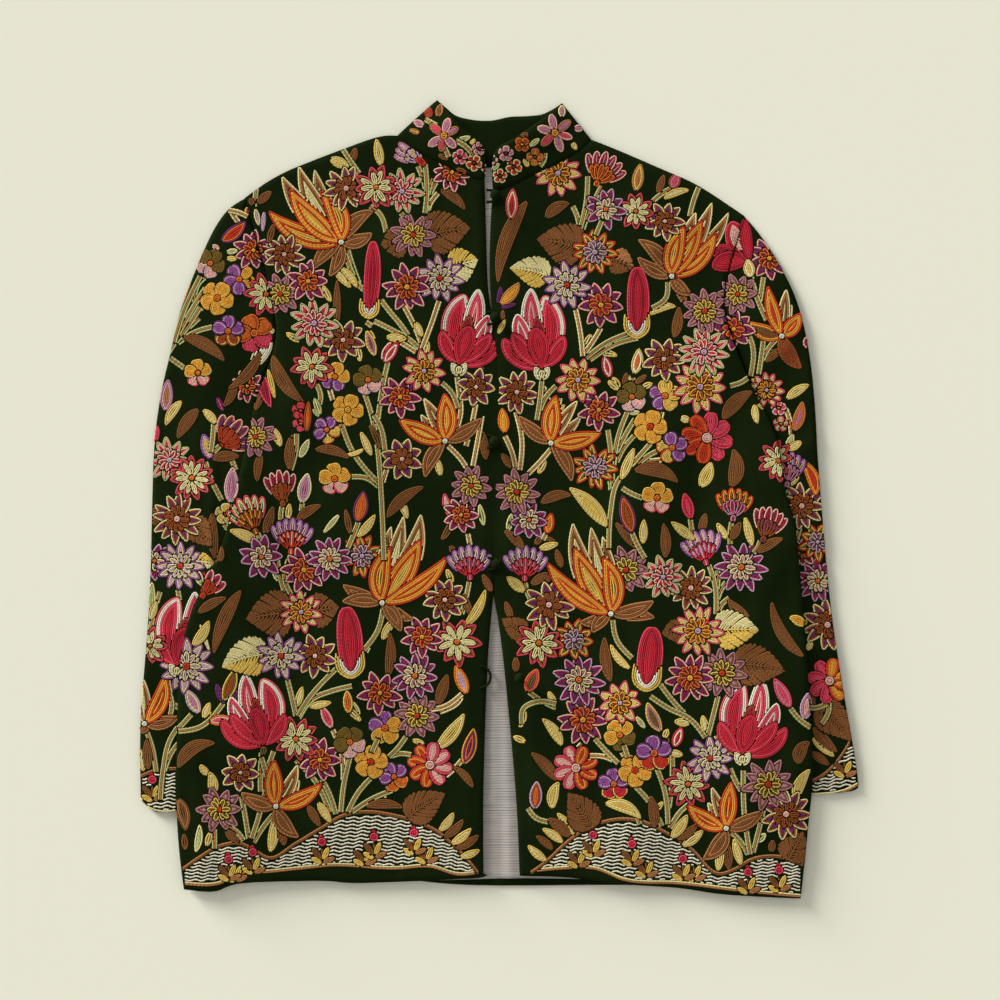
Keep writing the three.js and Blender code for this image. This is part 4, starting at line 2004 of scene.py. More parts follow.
LEFT_FRONT: tuple[Motif, ...] = (
    # shoulder and yoke
    Leaf((257, 203), (272, 190), 9, BARK), Leaf((253, 205), (249, 197), 6, BARK),
    stalk((254, 206), (256, 188)), Leaf((255, 208), (259, 227), 6, (Y.CREAM, Y.LILAC)),
    Leaf((264, 210), (262, 234), 5, (Y.LILAC,)), Leaf((268, 243), (274, 222), 7, BARK),
    Daisy(376, 187, 21, Dyes.E, 9, 12), Daisy(346, 188, 22, Dyes.C, 11),
    Daisy(402, 191, 22, Dyes.H, 11, 5), Daisy(452, 172, 19, Dyes.A, 10, 8),
    Daisy(413, 235, 22, Dyes.B, 11), Daisy(407, 287, 23, Dyes.A, 10, 9),
    Daisy(440, 278, 23, Dyes.G, 11, 4), Daisy(308, 281, 20, Dyes.A, 9, 3),
    Daisy(284, 254, 20, Dyes.C, 10, 7), Daisy(253, 250, 19, Dyes.A, 9),
    Daisy(280, 294, 20, Dyes.B, 10, 2), Daisy(314, 323, 24, Dyes.H, 11, 6),
    Daisy(343, 340, 21, Dyes.C, 9, 11), Leaf((426, 165), (415, 157), 7, (Y.FLAME, Y.RED)),
    Fan(422, 162, 31, -140, 52, (Y.MAUVE, Y.LILAC, Y.BLUSH), (Y.LILAC, Y.STRAW), 5, 8),
    Pod((369, 313), (373, 241), 17),
    lily((341, 242), ((318, 190, 22, 0.15), (289, 187, 23, -0.08), (267, 209, 21, -0.12)),
        ((375, 210, 16, -0.12), (373, 232, 15, 0.12), (313, 270, 15, 0.1), (328, 277, 14, -0.1)),
        ((281, 174, 22, -0.08), (298, 164, 21, -0.06), (314, 167, 17, -0.04))),
    ToothLeaf((425, 236), (470, 228), 42, Y.BROWN, Y.BROWN, -0.03),
    ToothLeaf((405, 240), (381, 245), 32, Y.BROWN, Y.BROWN),
    ToothLeaf((452, 268), (478, 260), 34, Y.CREAM, Y.STRAW, -0.04),
    Leaf((440, 190), (466, 211), 10, BARK, -0.1), Leaf((381, 166), (376, 137), 10, HAY),
    Leaf((337, 327), (337, 276), 8, BARK), Leaf((357, 288), (335, 266), 8, HAY, 0.12),
    stalk((343, 246), (352, 272), (358, 284), (364, 290)),
    stalk((348, 250), (355, 272), (360, 285)), stalk((425, 163), (427, 190), (425, 213)),
    stalk((432, 178), (428, 195), (427, 214)),
    stalk((438, 193), (430, 204), (427, 216), edge=Y.CREAM), stalk((401, 213), (408, 222)),
    Leaf((307, 433), (309, 399), 8, (Y.RUST, Y.ORANGE)),
    Leaf((321, 415), (314, 397), 7, (Y.SAGE, Y.CREAM)), Leaf((320, 417), (312, 408), 5, (Y.SAGE,)),
    Leaf((330, 158), (350, 167), 11, HAY), stalk((343, 149), (350, 160), (359, 173)),
    Leaf((352, 162), (356, 146), 8, BARK), stalk((381, 300), (391, 313), (401, 325), (408, 335)),
    stalk((418, 166), (424, 182), (427, 202)), stalk((439, 178), (432, 190), (428, 205)),
    stalk((442, 383), (452, 393), (458, 408)), stalk((406, 737), (398, 748), (389, 757)),
    stalk((411, 755), (399, 754), (389, 758)), stalk((378, 739), (372, 752)),
    Leaf((381, 450), (368, 423), 7, BARK, 0.05), stalk((374, 415), (381, 428), (385, 450)),
    Daisy(256, 437, 20, Dyes.B, 10, 4),
    # centre
    Tulip(459, 365, 79, -1, 4, breadth=0.74), Daisy(424, 371, 21, Dyes.I, 10, 6),
    Daisy(400, 397, 20, Dyes.A, 9, 4), Daisy(476, 387, 19, Dyes.C, 8, 10),
    lily((445, 441), ((444, 392, 21, 0.05), (398, 418, 20, -0.06)), ((483, 417, 15, 0.08),
        (425, 479, 15, 0.1)), ((423, 397, 14, 0.03), (420, 413, 11, -0.05))),
    Bud((384, 363), (399, 341), 11, (Y.RED, Y.WHITE, Y.RED)),
    Bud((375, 356), (366, 329), 10, (Y.STRAW, Y.MAUVE, Y.OLIVE)),
    Leaf((386, 337), (408, 339), 9, HAY), Leaf((415, 322), (423, 338), 8, HAY),
    Leaf((334, 268), (352, 289), 9, HAY), Daisy(312, 367, 20, Dyes.E, 9, 6),
    pansy(335, 377, 15, HONEY, PANSY, -150), pansy(368, 380, 15, MOSS, HEATHER, 180),
    Rosette(348, 410, 16, BUTTER, (), Y.GOLD, 5, -70),
    pansy(327, 430, 14, PANSY, (Y.ORANGE, Y.STRAW), 150),
    Rosette(301, 411, 9, (Y.FLAME, Y.ROSE), (), Y.ROSE, 5),
    Rosette(301, 424, 8, (Y.ROSE,), (), Y.ORANGE, 4), Daisy(402, 459, 20, Dyes.C, 8, 20),
    Daisy(471, 486, 20, Dyes.B, 10, 6), Daisy(461, 515, 18, Dyes.A, 9, 2),
    pansy(335, 479, 16, HONEY, PEACH, -170),
    Leaf((357, 522), (364, 490), 15, (Y.PURPLE, Y.ORANGE), 0.03),
    Bud((384, 363), (391, 341), 11, DAWN), Leaf((371, 352), (370, 329), 9, FLAX, 0.05),
    Leaf((360, 362), (355, 342), 7, HAY, 0.05), Bud((449, 516), (444, 492), 9, PEACH),
    Fan(470, 577, 33, -92, 90, (Y.IRIS, Y.LILAC, Y.CREAM), (Y.RED, Y.MAUVE), 7, 9),
    Leaf((387, 518), (426, 486), 12, BARK, -0.1), Leaf((315, 450), (351, 460), 10, BARK, -0.12),
    Leaf((372, 456), (360, 430), 8, HAY), Leaf((290, 470), (290, 436), 11, BARK),
    Leaf((273, 355), (306, 404), 14, BARK, 0.1), Leaf((318, 384), (316, 352), 6, BARK),
    Leaf((346, 455), (366, 447), 5, HAY, 0.1), Leaf((351, 535), (345, 507), 7, BARK),
    Leaf((357, 537), (376, 513), 9, HAY, 0.05), Leaf((441, 540), (450, 520), 7, BARK, 0.1),
    Leaf((450, 545), (458, 560), 7, BARK), Leaf((340, 514), (322, 535), 6, PALE),
    Leaf((262, 372), (272, 409), 11, (Y.ROSE, Y.CRIMSON), 0.05),
    Leaf((268, 368), (276, 402), 6, (Y.STRAW,)),
    stalk((439, 301), (431, 325), (422, 349), edge=Y.CREAM),
    stalk((404, 306), (414, 325), (421, 342), edge=Y.CREAM),
    stalk((374, 321), (392, 330), (410, 340), (420, 349)), stalk((366, 322), (372, 326)),
    stalk((388, 336), (405, 345), (416, 352), edge=Y.CREAM),
    Leaf((423, 358), (424, 334), 9, HAY, 0.1),
    stalk((365, 394), (373, 420), (378, 450), (381, 490), (384, 560)),
    stalk((388, 362), (383, 385), (378, 420)),
    stalk((342, 424), (352, 450), (368, 472), (380, 484)),
    stalk((352, 477), (366, 478), (380, 488)), stalk((330, 390), (333, 400), edge=Y.CREAM),
    stalk((394, 444), (388, 465), (383, 482), edge=Y.CREAM),
    stalk((359, 521), (354, 534), (348, 548)),
    stalk((457, 376), (459, 392), (461, 410), (452, 440), edge=Y.CREAM),
    stalk((476, 404), (472, 424), (466, 446), edge=Y.CREAM),
    stalk((448, 446), (460, 458), (468, 470), edge=Y.CREAM),
    stalk((482, 416), (478, 440), (473, 466), edge=Y.CREAM), Leaf((486, 460), (483, 430), 9, BARK),
    Leaf((441, 476), (436, 456), 8, HAY), stalk((318, 410), (321, 396), (316, 383)),
    stalk((329, 443), (333, 455), edge=Y.CREAM), stalk((468, 534), (470, 545), edge=Y.CREAM),
    Leaf((484, 526), (479, 502), 7, PALE), Leaf((331, 302), (322, 284), 7, HAY),
    Leaf((262, 392), (255, 412), 8, BARK), Leaf((281, 447), (268, 425), 9, HAY, 0.08),
    Leaf((262, 452), (258, 484), 9, BARK, 0.05), Leaf((300, 458), (310, 438), 8, PALE),
    Leaf((272, 318), (262, 342), 10, BARK, 0.05), Leaf((401, 500), (408, 520), 8, HAY),
    Leaf((300, 342), (285, 332), 7, HAY), Leaf((476, 355), (484, 372), 6, BARK),
    stalk((291, 470), (296, 452), (297, 434)), stalk((386, 232), (380, 214), (370, 206)),
    # lily and its neighbours
    lily((382, 603), ((392, 546, 22, -0.12), (449, 554, 19, 0.1), (421, 538, 25, 0.04)),
        ((341, 602, 15, 0.06), (342, 584, 15, -0.06), (401, 633, 15, -0.08), (415, 620, 13, 0.08)),
        ((421, 512, 24, 0.09), (404, 514, 19, 0.02), (392, 524, 16, -0.04))),
    Daisy(330, 559, 22, Dyes.D, 11, 4), Daisy(362, 556, 21, Dyes.F, 10, 8),
    Daisy(304, 570, 22, Dyes.A, 10, 3), Daisy(262, 557, 21, Dyes.D, 9, 2),
    Daisy(445, 600, 21, Dyes.C, 9, 4), Daisy(301, 612, 21, Dyes.I, 11, 9),
    Daisy(281, 656, 23, Dyes.G, 11, 5), Daisy(315, 656, 21, Dyes.C, 9, 12),
    Daisy(422, 637, 20, Dyes.A, 9, 6), Daisy(457, 642, 23, Dyes.E, 9, 2),
    Daisy(415, 676, 23, Dyes.D, 11, 7), Daisy(380, 693, 21, Dyes.A, 9, 10),
    Daisy(417, 716, 22, Dyes.B, 10, 3),
    Fan(291, 551, 34, -86, 80, (Y.IRIS, Y.LILAC, Y.BLUSH), (Y.FLAME, Y.BLUSH), 7, 9),
    Bud((302, 503), (308, 472), 14, (Y.CREAM, Y.LILAC, Y.MAUVE), MOSS),
    Fan(283, 503, 34, -97, 56, BERRY, (Y.RUST,), 5, 8),
    Leaf((297, 521), (323, 505), 10, BARK, -0.08),
    Fan(256, 531, 38, -112, 66, (Y.ROSE, Y.CREAM, Y.SAGE), (Y.RUST, Y.GOLD), 6, 9),
    Bud((231, 503), (233, 466), 15, (Y.BLUSH, Y.LILAC, Y.MAUVE), (Y.ORANGE,)),
    Rosette(226, 514, 11, (Y.CREAM, Y.STRAW), (), Y.FLAME, 5),
    Leaf((259, 543), (229, 530), 11, HAY, 0.05), stalk((258, 532), (262, 545), (263, 552)),
    Leaf((287, 503), (285, 492), 5, MOSS), Leaf((288, 520), (290, 502), 7, HAY),
    Leaf((221, 562), (222, 545), 8, BARK), Leaf((213, 512), (218, 566), 11, BARK, 0.04),
    Fan(204, 595, 28, -60, 60, (Y.BLUSH, Y.RED, Y.PURPLE), (Y.FLAME, Y.RUST), 4, 9),
    Leaf((193, 645), (210, 619), 11, HAY, 0.08), Daisy(187, 666, 27, Dyes.G, 12, 3),
    Leaf((291, 470), (292, 433), 11, BARK, 0.04), Pod((351, 670), (346, 607), 26),
    ToothLeaf((292, 613), (247, 619), 46, Y.BROWN, Y.BROWN, 0.03),
    ToothLeaf((310, 612), (339, 607), 34, Y.BROWN, Y.BROWN),
    ToothLeaf((268, 654), (223, 667), 38, Y.CREAM, Y.STRAW, 0.06),
    Leaf((242, 590), (214, 656), 14, BARK, 0.06), Leaf((199, 613), (229, 597), 10, BARK, -0.06),
    Leaf((464, 627), (486, 587), 10, (Y.STRAW, Y.STRAW, Y.CREAM), 0.08),
    Leaf((387, 678), (389, 630), 11, BARK, 0.06), Leaf((438, 705), (448, 673), 12, BARK),
    Bud((467, 694), (455, 664), 13, (Y.ORANGE, Y.GOLD, Y.LILAC), (Y.BLUSH, Y.ORANGE)),
    Leaf((471, 616), (463, 592), 8, BARK), Leaf((492, 592), (482, 573), 8, BARK),
    Leaf((453, 583), (446, 568), 7, HAY), stalk((470, 578), (467, 594), (462, 614)),
    stalk((383, 609), (378, 630), (364, 650)), stalk((372, 640), (366, 652), edge=Y.CREAM),
    Leaf((382, 640), (394, 617), 9, HAY), stalk((344, 662), (325, 680), (310, 697), (298, 716)),
    stalk((352, 686), (332, 691), (313, 699), (299, 718)),
    stalk((287, 677), (292, 697), (296, 716)), Leaf((297, 707), (303, 685), 8, HAY),
    Leaf((309, 707), (333, 702), 8, HAY), stalk((304, 592), (302, 600)),
    stalk((283, 504), (281, 518), (284, 530)), stalk((303, 500), (300, 520), (294, 540)),
    stalk((290, 556), (285, 580), (292, 596)), Leaf((265, 535), (274, 505), 10, BARK),
    stalk((277, 553), (280, 575), (287, 598)), Leaf((279, 582), (272, 566), 6, PALE),
    stalk((462, 694), (446, 706), (428, 710), edge=Y.CREAM),
    stalk((464, 688), (460, 700), (440, 712), edge=Y.CREAM),
    # lower field
    Tulip(264, 745, 74, 1, 0, Y.OLIVE), pansy(385, 728, 17, HONEY, PANSY, -20),
    pansy(350, 742, 16, MOSS, HEATHER, 160), Rosette(371, 762, 17, BUTTER, (), Y.FLAME, 5, -80),
    pansy(394, 777, 15, PANSY, (Y.GOLD, Y.ORANGE), 170),
    pinwheel(430, 765, 23, (Y.ROSE, Y.ROSE, Y.BLUSH), (Y.RED, Y.ORANGE, Y.GOLD, Y.FLAME), -80),
    Daisy(296, 739, 22, Dyes.E, 10, 5), Daisy(320, 760, 21, Dyes.A, 9, 3),
    Daisy(241, 772, 19, Dyes.C, 8, 7), Daisy(220, 809, 22, Dyes.B, 10, 2),
    lily((276, 806), ((275, 758, 19, -0.03), (323, 782, 17, 0.1)), ((241, 791, 16, -0.1),
        (300, 838, 16, 0.12)), ((298, 763, 14, 0.06), (300, 778, 11, 0.1))),
    Leaf((464, 764), (474, 727), 14, (Y.GOLD, Y.PURPLE, Y.ORANGE, Y.PURPLE), 0.03),
    Leaf((224, 700), (236, 667), 13, (Y.STRAW, Y.OLIVE, Y.RUST), 0.04),
    Leaf((226, 703), (217, 682), 8, (Y.PURPLE,), -0.05),
    Leaf((228, 702), (240, 688), 7, (Y.PURPLE,), 0.05), Leaf((436, 749), (465, 712), 14, HAY, 0.06),
    Leaf((366, 807), (405, 809), 10, BARK, -0.1), Leaf((473, 788), (451, 766), 8, BARK, 0.1),
    Bud((332, 728), (321, 705), 10, DAWN), Leaf((349, 713), (347, 689), 10, FLAX),
    Bud((210, 721), (233, 718), 11, (Y.ORANGE, Y.BLUSH, Y.ROSE), (Y.ORANGE,)),
    Bud((200, 713), (186, 688), 13, (Y.LILAC, Y.CREAM, Y.MAUVE), (Y.RED,)),
    Leaf((204, 718), (211, 701), 8, HAY), Leaf((179, 768), (218, 743), 14, BARK, -0.2),
    Leaf((178, 798), (186, 832), 14, (Y.BROWN, Y.TAN, Y.BROWN), -0.06),
    Leaf((212, 796), (209, 770), 11, HAY, 0.12), Leaf((210, 774), (201, 763), 8, HAY, -0.1),
    Leaf((211, 653), (199, 619), 4, (Y.CREAM,)), Leaf((226, 830), (240, 843), 9, BARK),
    Leaf((284, 846), (277, 816), 10, BARK, 0.05), Leaf((308, 805), (321, 828), 9, BARK),
    Leaf((318, 802), (332, 824), 9, HAY), Leaf((362, 722), (341, 701), 7, HAY),
    Leaf((360, 716), (352, 700), 6, PALE), Leaf((412, 740), (426, 744), 6, HAY),
    Leaf((406, 676), (398, 664), 7, BARK), Leaf((270, 852), (273, 817), 11, HAY, 0.06),
    Leaf((196, 852), (200, 822), 8, PALE, 0.05), Leaf((186, 850), (184, 832), 7, BARK),
    Leaf((207, 846), (212, 829), 7, HAY), stalk((262, 757), (267, 780), (262, 806), (252, 838)),
    stalk((241, 790), (244, 806), (249, 838)), stalk((229, 826), (238, 832), (244, 840)),
    stalk((276, 811), (264, 826), (254, 842)), stalk((179, 731), (200, 727), (224, 703)),
    stalk((179, 728), (185, 722), (192, 714)), Leaf((207, 720), (211, 704), 7, HAY),
    stalk((262, 752), (261, 775), (261, 791)), stalk((274, 751), (270, 762), (264, 776)),
    stalk((215, 829), (215, 848)), stalk((350, 758), (344, 784), (341, 812)),
    stalk((322, 779), (330, 795), (336, 814)), stalk((371, 778), (358, 793), (348, 812)),
    stalk((394, 790), (374, 798), (352, 812)),
    stalk((333, 730), (341, 750), (343, 790), edge=Y.CREAM),
    stalk((296, 760), (316, 782), (330, 812)),
    stalk((378, 806), (384, 796), (391, 788), edge=Y.CREAM),
    stalk((446, 776), (454, 769), (462, 760), edge=Y.CREAM),
    ToothLeaf((408, 818), (445, 794), 32, Y.BROWN, Y.BROWN, -0.04),
    Leaf((439, 831), (454, 811), 9, HAY, 0.08), Leaf((444, 837), (464, 818), 9, BARK, 0.08),
    Leaf((451, 844), (472, 827), 9, HAY, 0.06), Leaf((456, 849), (480, 834), 9, BARK, 0.05),
    Leaf((460, 857), (481, 849), 8, HAY, 0.05),
)

RIGHT_FRONT: tuple[Motif, ...] = (
    # shoulder and yoke
    Daisy(778, 461, 20, Dyes.E, 10, 9), stalk((602, 221), (596, 235)),
    stalk((595, 739), (606, 751), (618, 763)),
    stalk((590, 756), (605, 757), (618, 763), edge=Y.CREAM), stalk((624, 745), (628, 757)),
    stalk((542, 381), (540, 401), (537, 420)), stalk((556, 386), (546, 397), (540, 411)),
    Daisy(606, 209, 20, Dyes.D, 10, 3), Daisy(636, 211, 18, Dyes.E, 9, 8),
    Daisy(665, 221, 19, Dyes.C, 9, 2), Daisy(558, 173, 23, Dyes.I, 10, 6),
    Daisy(595, 252, 22, Dyes.F, 11, 5), Daisy(567, 285, 23, Dyes.G, 11, 2),
    Daisy(601, 305, 22, Dyes.A, 9, 10), Daisy(705, 311, 22, Dyes.B, 11, 4),
    Daisy(704, 352, 25, Dyes.H, 12, 8), Daisy(664, 359, 21, Dyes.C, 9, 3),
    Daisy(738, 294, 20, Dyes.B, 10), Daisy(734, 329, 20, Dyes.A, 8, 4),
    Fan(597, 183, 34, -64, 84, (Y.BLUSH, Y.CRIMSON, Y.MAUVE), (Y.ORANGE, Y.RUST), 6, 9),
    Bud((511, 219), (513, 187), 13, (Y.ROSE, Y.CREAM, Y.RED), (Y.RED,)),
    Pod((637, 331), (637, 267), 23),
    lily((672, 276), ((686, 225, 21, -0.08), (703, 219, 21, 0.02), (717, 230, 19, 0.12)),
        ((637, 239, 16, 0.1), (637, 256, 14, -0.1), (693, 295, 13, 0.1), (684, 306, 13, -0.1)),
        ((713, 200, 18, 0.05), (730, 210, 17, 0.08), (697, 210, 17, 0.0))),
    Leaf((751, 277), (748, 258), 12, (Y.STRAW, Y.WHITE, Y.STRAW)),
    Burst((751, 264), ((713, 268, 20, 0.14, (Y.RED, Y.CRIMSON, Y.RED)),
        (712, 248, 20, 0.0, (Y.RED, Y.RED, Y.CRIMSON)), (745, 217, 13, -0.02, (Y.CRIMSON, Y.RED)),
        (732, 221, 24, -0.04, (Y.ROSE, Y.RED, Y.RED, Y.BLUSH))), Form.PETAL, 3.0, Y.STRAW),
    ToothLeaf((583, 250), (537, 239), 42, Y.BROWN, Y.BROWN, 0.04),
    ToothLeaf((612, 258), (634, 268), 26, Y.BROWN, Y.TAN),
    ToothLeaf((549, 276), (510, 268), 30, Y.CREAM, Y.STRAW, 0.05),
    Leaf((528, 200), (498, 286), 15, BARK, 0.08), Leaf((546, 218), (571, 203), 12, BARK, -0.12),
    Leaf((636, 191), (641, 162), 12, (Y.TAN, Y.STRAW, Y.TAN)),
    Leaf((664, 199), (692, 190), 8, HAY, -0.1), Leaf((658, 193), (665, 173), 8, BARK),
    Bud((672, 188), (679, 172), 12, (Y.RUST, Y.MAUVE, Y.ROSE), (Y.RUST,)),
    stalk((651, 203), (660, 195), (671, 188)),
    Leaf((500, 304), (520, 281), 12, (Y.TAN, Y.GOLD), 0.06),
    Leaf((497, 303), (500, 285), 6, (Y.PURPLE,), 0.1), Leaf((500, 308), (519, 303), 5, (Y.PURPLE,)),
    Leaf((674, 338), (679, 305), 11, BARK, 0.05), stalk((588, 176), (586, 205), (578, 236)),
    stalk((602, 186), (590, 210), (581, 236)), stalk((511, 222), (511, 228), edge=Y.CREAM),
    stalk((668, 282), (666, 298), (652, 308)), Leaf((650, 315), (678, 307), 9, HAY, -0.15),
    stalk((690, 216), (694, 200), (699, 187)),
    stalk((575, 306), (580, 330), (583, 356), edge=Y.CREAM),
    stalk((601, 328), (594, 340), (584, 354), edge=Y.CREAM),
    stalk((630, 333), (608, 342), (586, 358)), stalk((638, 338), (616, 344), (590, 360)),
    Leaf((600, 354), (619, 357), 7, HAY, -0.1), Leaf((585, 346), (592, 333), 7, HAY),
    # centre
    Tulip(542, 369, 82, 1, 3, breadth=0.76), Daisy(578, 380, 22, Dyes.I, 10, 3),
    Daisy(599, 410, 20, Dyes.A, 9, 7), Daisy(517, 392, 21, Dyes.C, 10, 5),
    Daisy(700, 387, 26, Dyes.I, 11, 4),
    lily((551, 443), ((557, 394, 20, -0.05), (603, 432, 19, 0.06)), ((518, 415, 15, -0.06),
        (572, 483, 15, -0.1)), ((579, 399, 13, -0.03), (582, 415, 11, 0.05))),
    pansy(632, 397, 15, MOSS, HEATHER, 180), Leaf((642, 388), (653, 383), 7, HAY),
    Leaf((635, 384), (648, 374), 6, BARK), Leaf((624, 386), (627, 371), 6, BARK),
    Leaf((631, 385), (628, 373), 5, HAY), Leaf((619, 390), (607, 380), 7, HAY),
    Leaf((772, 412), (756, 405), 8, HAY, 0.1), Leaf((755, 404), (758, 425), 8, HAY, 0.06),
    stalk((573, 206), (577, 215), (580, 228)),
    pansy(665, 396, 16, (Y.STRAW, Y.GOLD, Y.STRAW), PANSY, -90),
    Rosette(650, 427, 17, BUTTER, (), Y.FLAME, 5, -75),
    pansy(672, 448, 16, PANSY, (Y.FLAME, Y.STRAW), -100),
    Bud((505, 433), (502, 407), 12, (Y.ORANGE, Y.GOLD)),
    Bud((610, 378), (604, 354), 11, (Y.RED, Y.WHITE, Y.RED)),
    Leaf((634, 374), (639, 347), 12, (Y.STRAW, Y.WHITE, Y.ORANGE), 0.05),
    stalk((633, 378), (634, 388)), Leaf((620, 388), (612, 376), 7, HAY),
    Daisy(595, 467, 22, Dyes.F, 11, 5), Daisy(517, 492, 22, Dyes.B, 11, 2),
    Daisy(529, 520, 19, Dyes.D, 9, 12), pansy(657, 498, 16, HONEY, PEACH, -160),
    Leaf((632, 533), (622, 494), 16, (Y.PURPLE, Y.ORANGE, Y.RUST)),
    stalk((632, 533), (638, 546), (645, 558)),
    Bud((547, 534), (552, 512), 11, (Y.FLAME, Y.GOLD, Y.ORANGE), (Y.SAGE,)),
    Leaf((539, 549), (560, 543), 8, HAY), Leaf((524, 549), (503, 530), 10, BARK, 0.05),
    Fan(525, 578, 33, -88, 90, (Y.IRIS, Y.LILAC, Y.CREAM), (Y.RED, Y.MAUVE), 7, 9),
    Leaf((531, 585), (549, 572), 9, BARK), Leaf((525, 592), (506, 576), 11, HAY),
    pinwheel(707, 438, 26, (Y.FLAME, Y.ORANGE, Y.FLAME), CHERRY, 100),
    Leaf((607, 527), (568, 487), 16, HAY, 0.06), Leaf((541, 504), (573, 496), 11, BARK, -0.14),
    Leaf((634, 471), (679, 484), 15, BARK, -0.16), Leaf((621, 480), (635, 446), 10, HAY),
    Leaf((639, 549), (614, 521), 10, BARK), Leaf((643, 544), (644, 518), 9, HAY),
    Leaf((695, 540), (670, 521), 10, HAY), Leaf((700, 487), (711, 461), 14, HAY, 0.06),
    Leaf((730, 487), (732, 448), 16, BARK, 0.14), Leaf((723, 420), (754, 391), 15, BARK, -0.1),
    Bud((691, 519), (684, 492), 12, CHERRY, (Y.SAGE,)),
    Leaf((665, 558), (663, 522), 11, BARK, 0.05),
    Fan(733, 518, 31, -86, 74, (Y.FLAME, Y.GOLD, Y.OLIVE), (Y.MAUVE, Y.CRIMSON), 6, 9),
    Fan(763, 539, 34, -72, 62, BERRY, (Y.RUST, Y.PURPLE), 6, 8),
    Leaf((757, 553), (784, 538), 10, BARK, -0.06), stalk((760, 541), (757, 548), (753, 553)),
    Fan(706, 562, 34, -104, 76, (Y.IRIS, Y.LILAC, Y.BLUSH), (Y.RED, Y.LILAC), 6, 10),
    Leaf((752, 546), (744, 515), 9, HAY), Leaf((727, 539), (716, 522), 8, HAY),
    Leaf((731, 540), (741, 521), 9, BARK), Leaf((701, 533), (706, 512), 9, BARK),
    Leaf((692, 545), (688, 530), 7, HAY), Leaf((498, 334), (506, 318), 6, HAY),
    Leaf((503, 322), (503, 308), 5, BARK), Leaf((552, 420), (566, 403), 7, HAY),
    stalk((542, 384), (548, 398), (552, 420), edge=Y.CREAM),
    stalk((516, 412), (522, 440), (520, 470), edge=Y.CREAM),
    stalk((505, 436), (512, 452), (516, 470), edge=Y.CREAM),
    stalk((551, 449), (540, 462), (528, 474), edge=Y.CREAM),
    stalk((560, 398), (556, 424), edge=Y.CREAM), Leaf((538, 474), (547, 459), 7, HAY),
    Leaf((512, 468), (501, 452), 8, BARK),
    stalk((651, 443), (636, 460), (616, 485), (611, 510), (609, 548)),
    stalk((608, 430), (611, 452), (613, 490)), stalk((628, 411), (618, 438), (614, 466)),
    stalk((635, 419), (625, 436), (617, 452)), stalk((634, 436), (624, 448), (617, 462)),
    stalk((660, 450), (648, 456), (638, 464)), stalk((662, 412), (660, 420), edge=Y.CREAM),
    stalk((598, 470), (608, 476), (611, 490)), stalk((622, 488), (632, 494), (642, 498)),
    stalk((662, 460), (640, 462), edge=Y.CREAM), Leaf((680, 418), (691, 421), 8, HAY),
    Leaf((640, 412), (628, 414), 5, PALE), stalk((730, 386), (742, 382), (752, 374)),
    stalk((690, 516), (692, 530), (697, 548)), stalk((732, 520), (730, 532), (730, 544)),
    stalk((549, 528), (543, 540), edge=Y.CREAM), Leaf((535, 545), (545, 532), 7, BARK),
    Leaf((556, 548), (547, 536), 8, BARK), Leaf((508, 532), (512, 512), 7, PALE),
    # lily and its neighbours
    lily((611, 614), ((546, 560, 19, -0.1), (602, 556, 22, 0.12), (574, 546, 25, -0.04)),
        ((655, 600, 15, 0.08), (656, 618, 15, -0.04), (592, 634, 14, 0.1), (578, 622, 13, -0.1)),
        ((573, 521, 24, -0.09), (591, 525, 19, -0.02), (602, 534, 16, 0.04))),
    Daisy(626, 570, 23, Dyes.B, 10, 4), Daisy(663, 577, 21, Dyes.H, 10, 6),
    Daisy(691, 588, 22, Dyes.C, 11, 10), Daisy(741, 567, 25, Dyes.D, 12, 3),
    Daisy(549, 605, 24, Dyes.C, 10, 2), Daisy(539, 643, 23, Dyes.E, 10, 5),
    Daisy(574, 640, 20, Dyes.F, 9, 8), Daisy(579, 680, 25, Dyes.D, 11, 4),
    Daisy(620, 703, 21, Dyes.I, 9, 6), Daisy(583, 720, 24, Dyes.A, 10, 9),
    Daisy(698, 631, 25, Dyes.I, 12, 2), Daisy(690, 678, 24, Dyes.A, 11, 7),
    Daisy(722, 673, 24, Dyes.B, 11, 5), Pod((646, 683), (652, 627), 26),
    ToothLeaf((526, 634), (502, 619), 22, Y.BROWN, Y.BROWN),
    ToothLeaf((714, 631), (758, 630), 38, Y.STRAW, Y.CREAM, -0.03),
    ToothLeaf((682, 629), (662, 634), 22, Y.BROWN, Y.BROWN),
    ToothLeaf((734, 664), (784, 671), 40, Y.BROWN, Y.BROWN, -0.04),
    Leaf((804, 657), (771, 598), 12, BARK, -0.12), Leaf((749, 617), (728, 598), 11, BARK, -0.1),
    Leaf((804, 626), (788, 617), 10, HONEY, 0.1), Leaf((611, 682), (605, 635), 12, BARK, -0.05),
    Leaf((631, 669), (610, 642), 8, HAY, -0.1), Leaf((516, 672), (516, 656), 8, BARK),
    Bud((527, 692), (538, 668), 14, (Y.ORANGE, Y.ROSE, Y.OLIVE), (Y.BLUSH, Y.ORANGE)),
    Leaf((562, 568), (556, 548), 8, BARK), Leaf((512, 620), (505, 600), 8, BARK),
    Leaf((541, 584), (553, 572), 9, BARK), stalk((525, 582), (528, 594), (532, 602)),
    stalk((613, 620), (617, 640), (632, 658)),
    stalk((650, 696), (668, 708), (690, 719), (705, 737)),
    stalk((660, 684), (672, 700), (687, 716)), stalk((718, 696), (713, 716), (708, 735)),
    Leaf((690, 723), (673, 721), 9, HAY), Leaf((706, 731), (702, 714), 8, HAY),
    stalk((709, 565), (715, 585), (716, 614)), stalk((717, 563), (718, 576), (717, 590)),
    stalk((726, 582), (720, 592), (717, 603)), stalk((729, 598), (722, 604), (718, 613)),
    stalk((522, 724), (524, 708), (536, 702), (556, 704)),
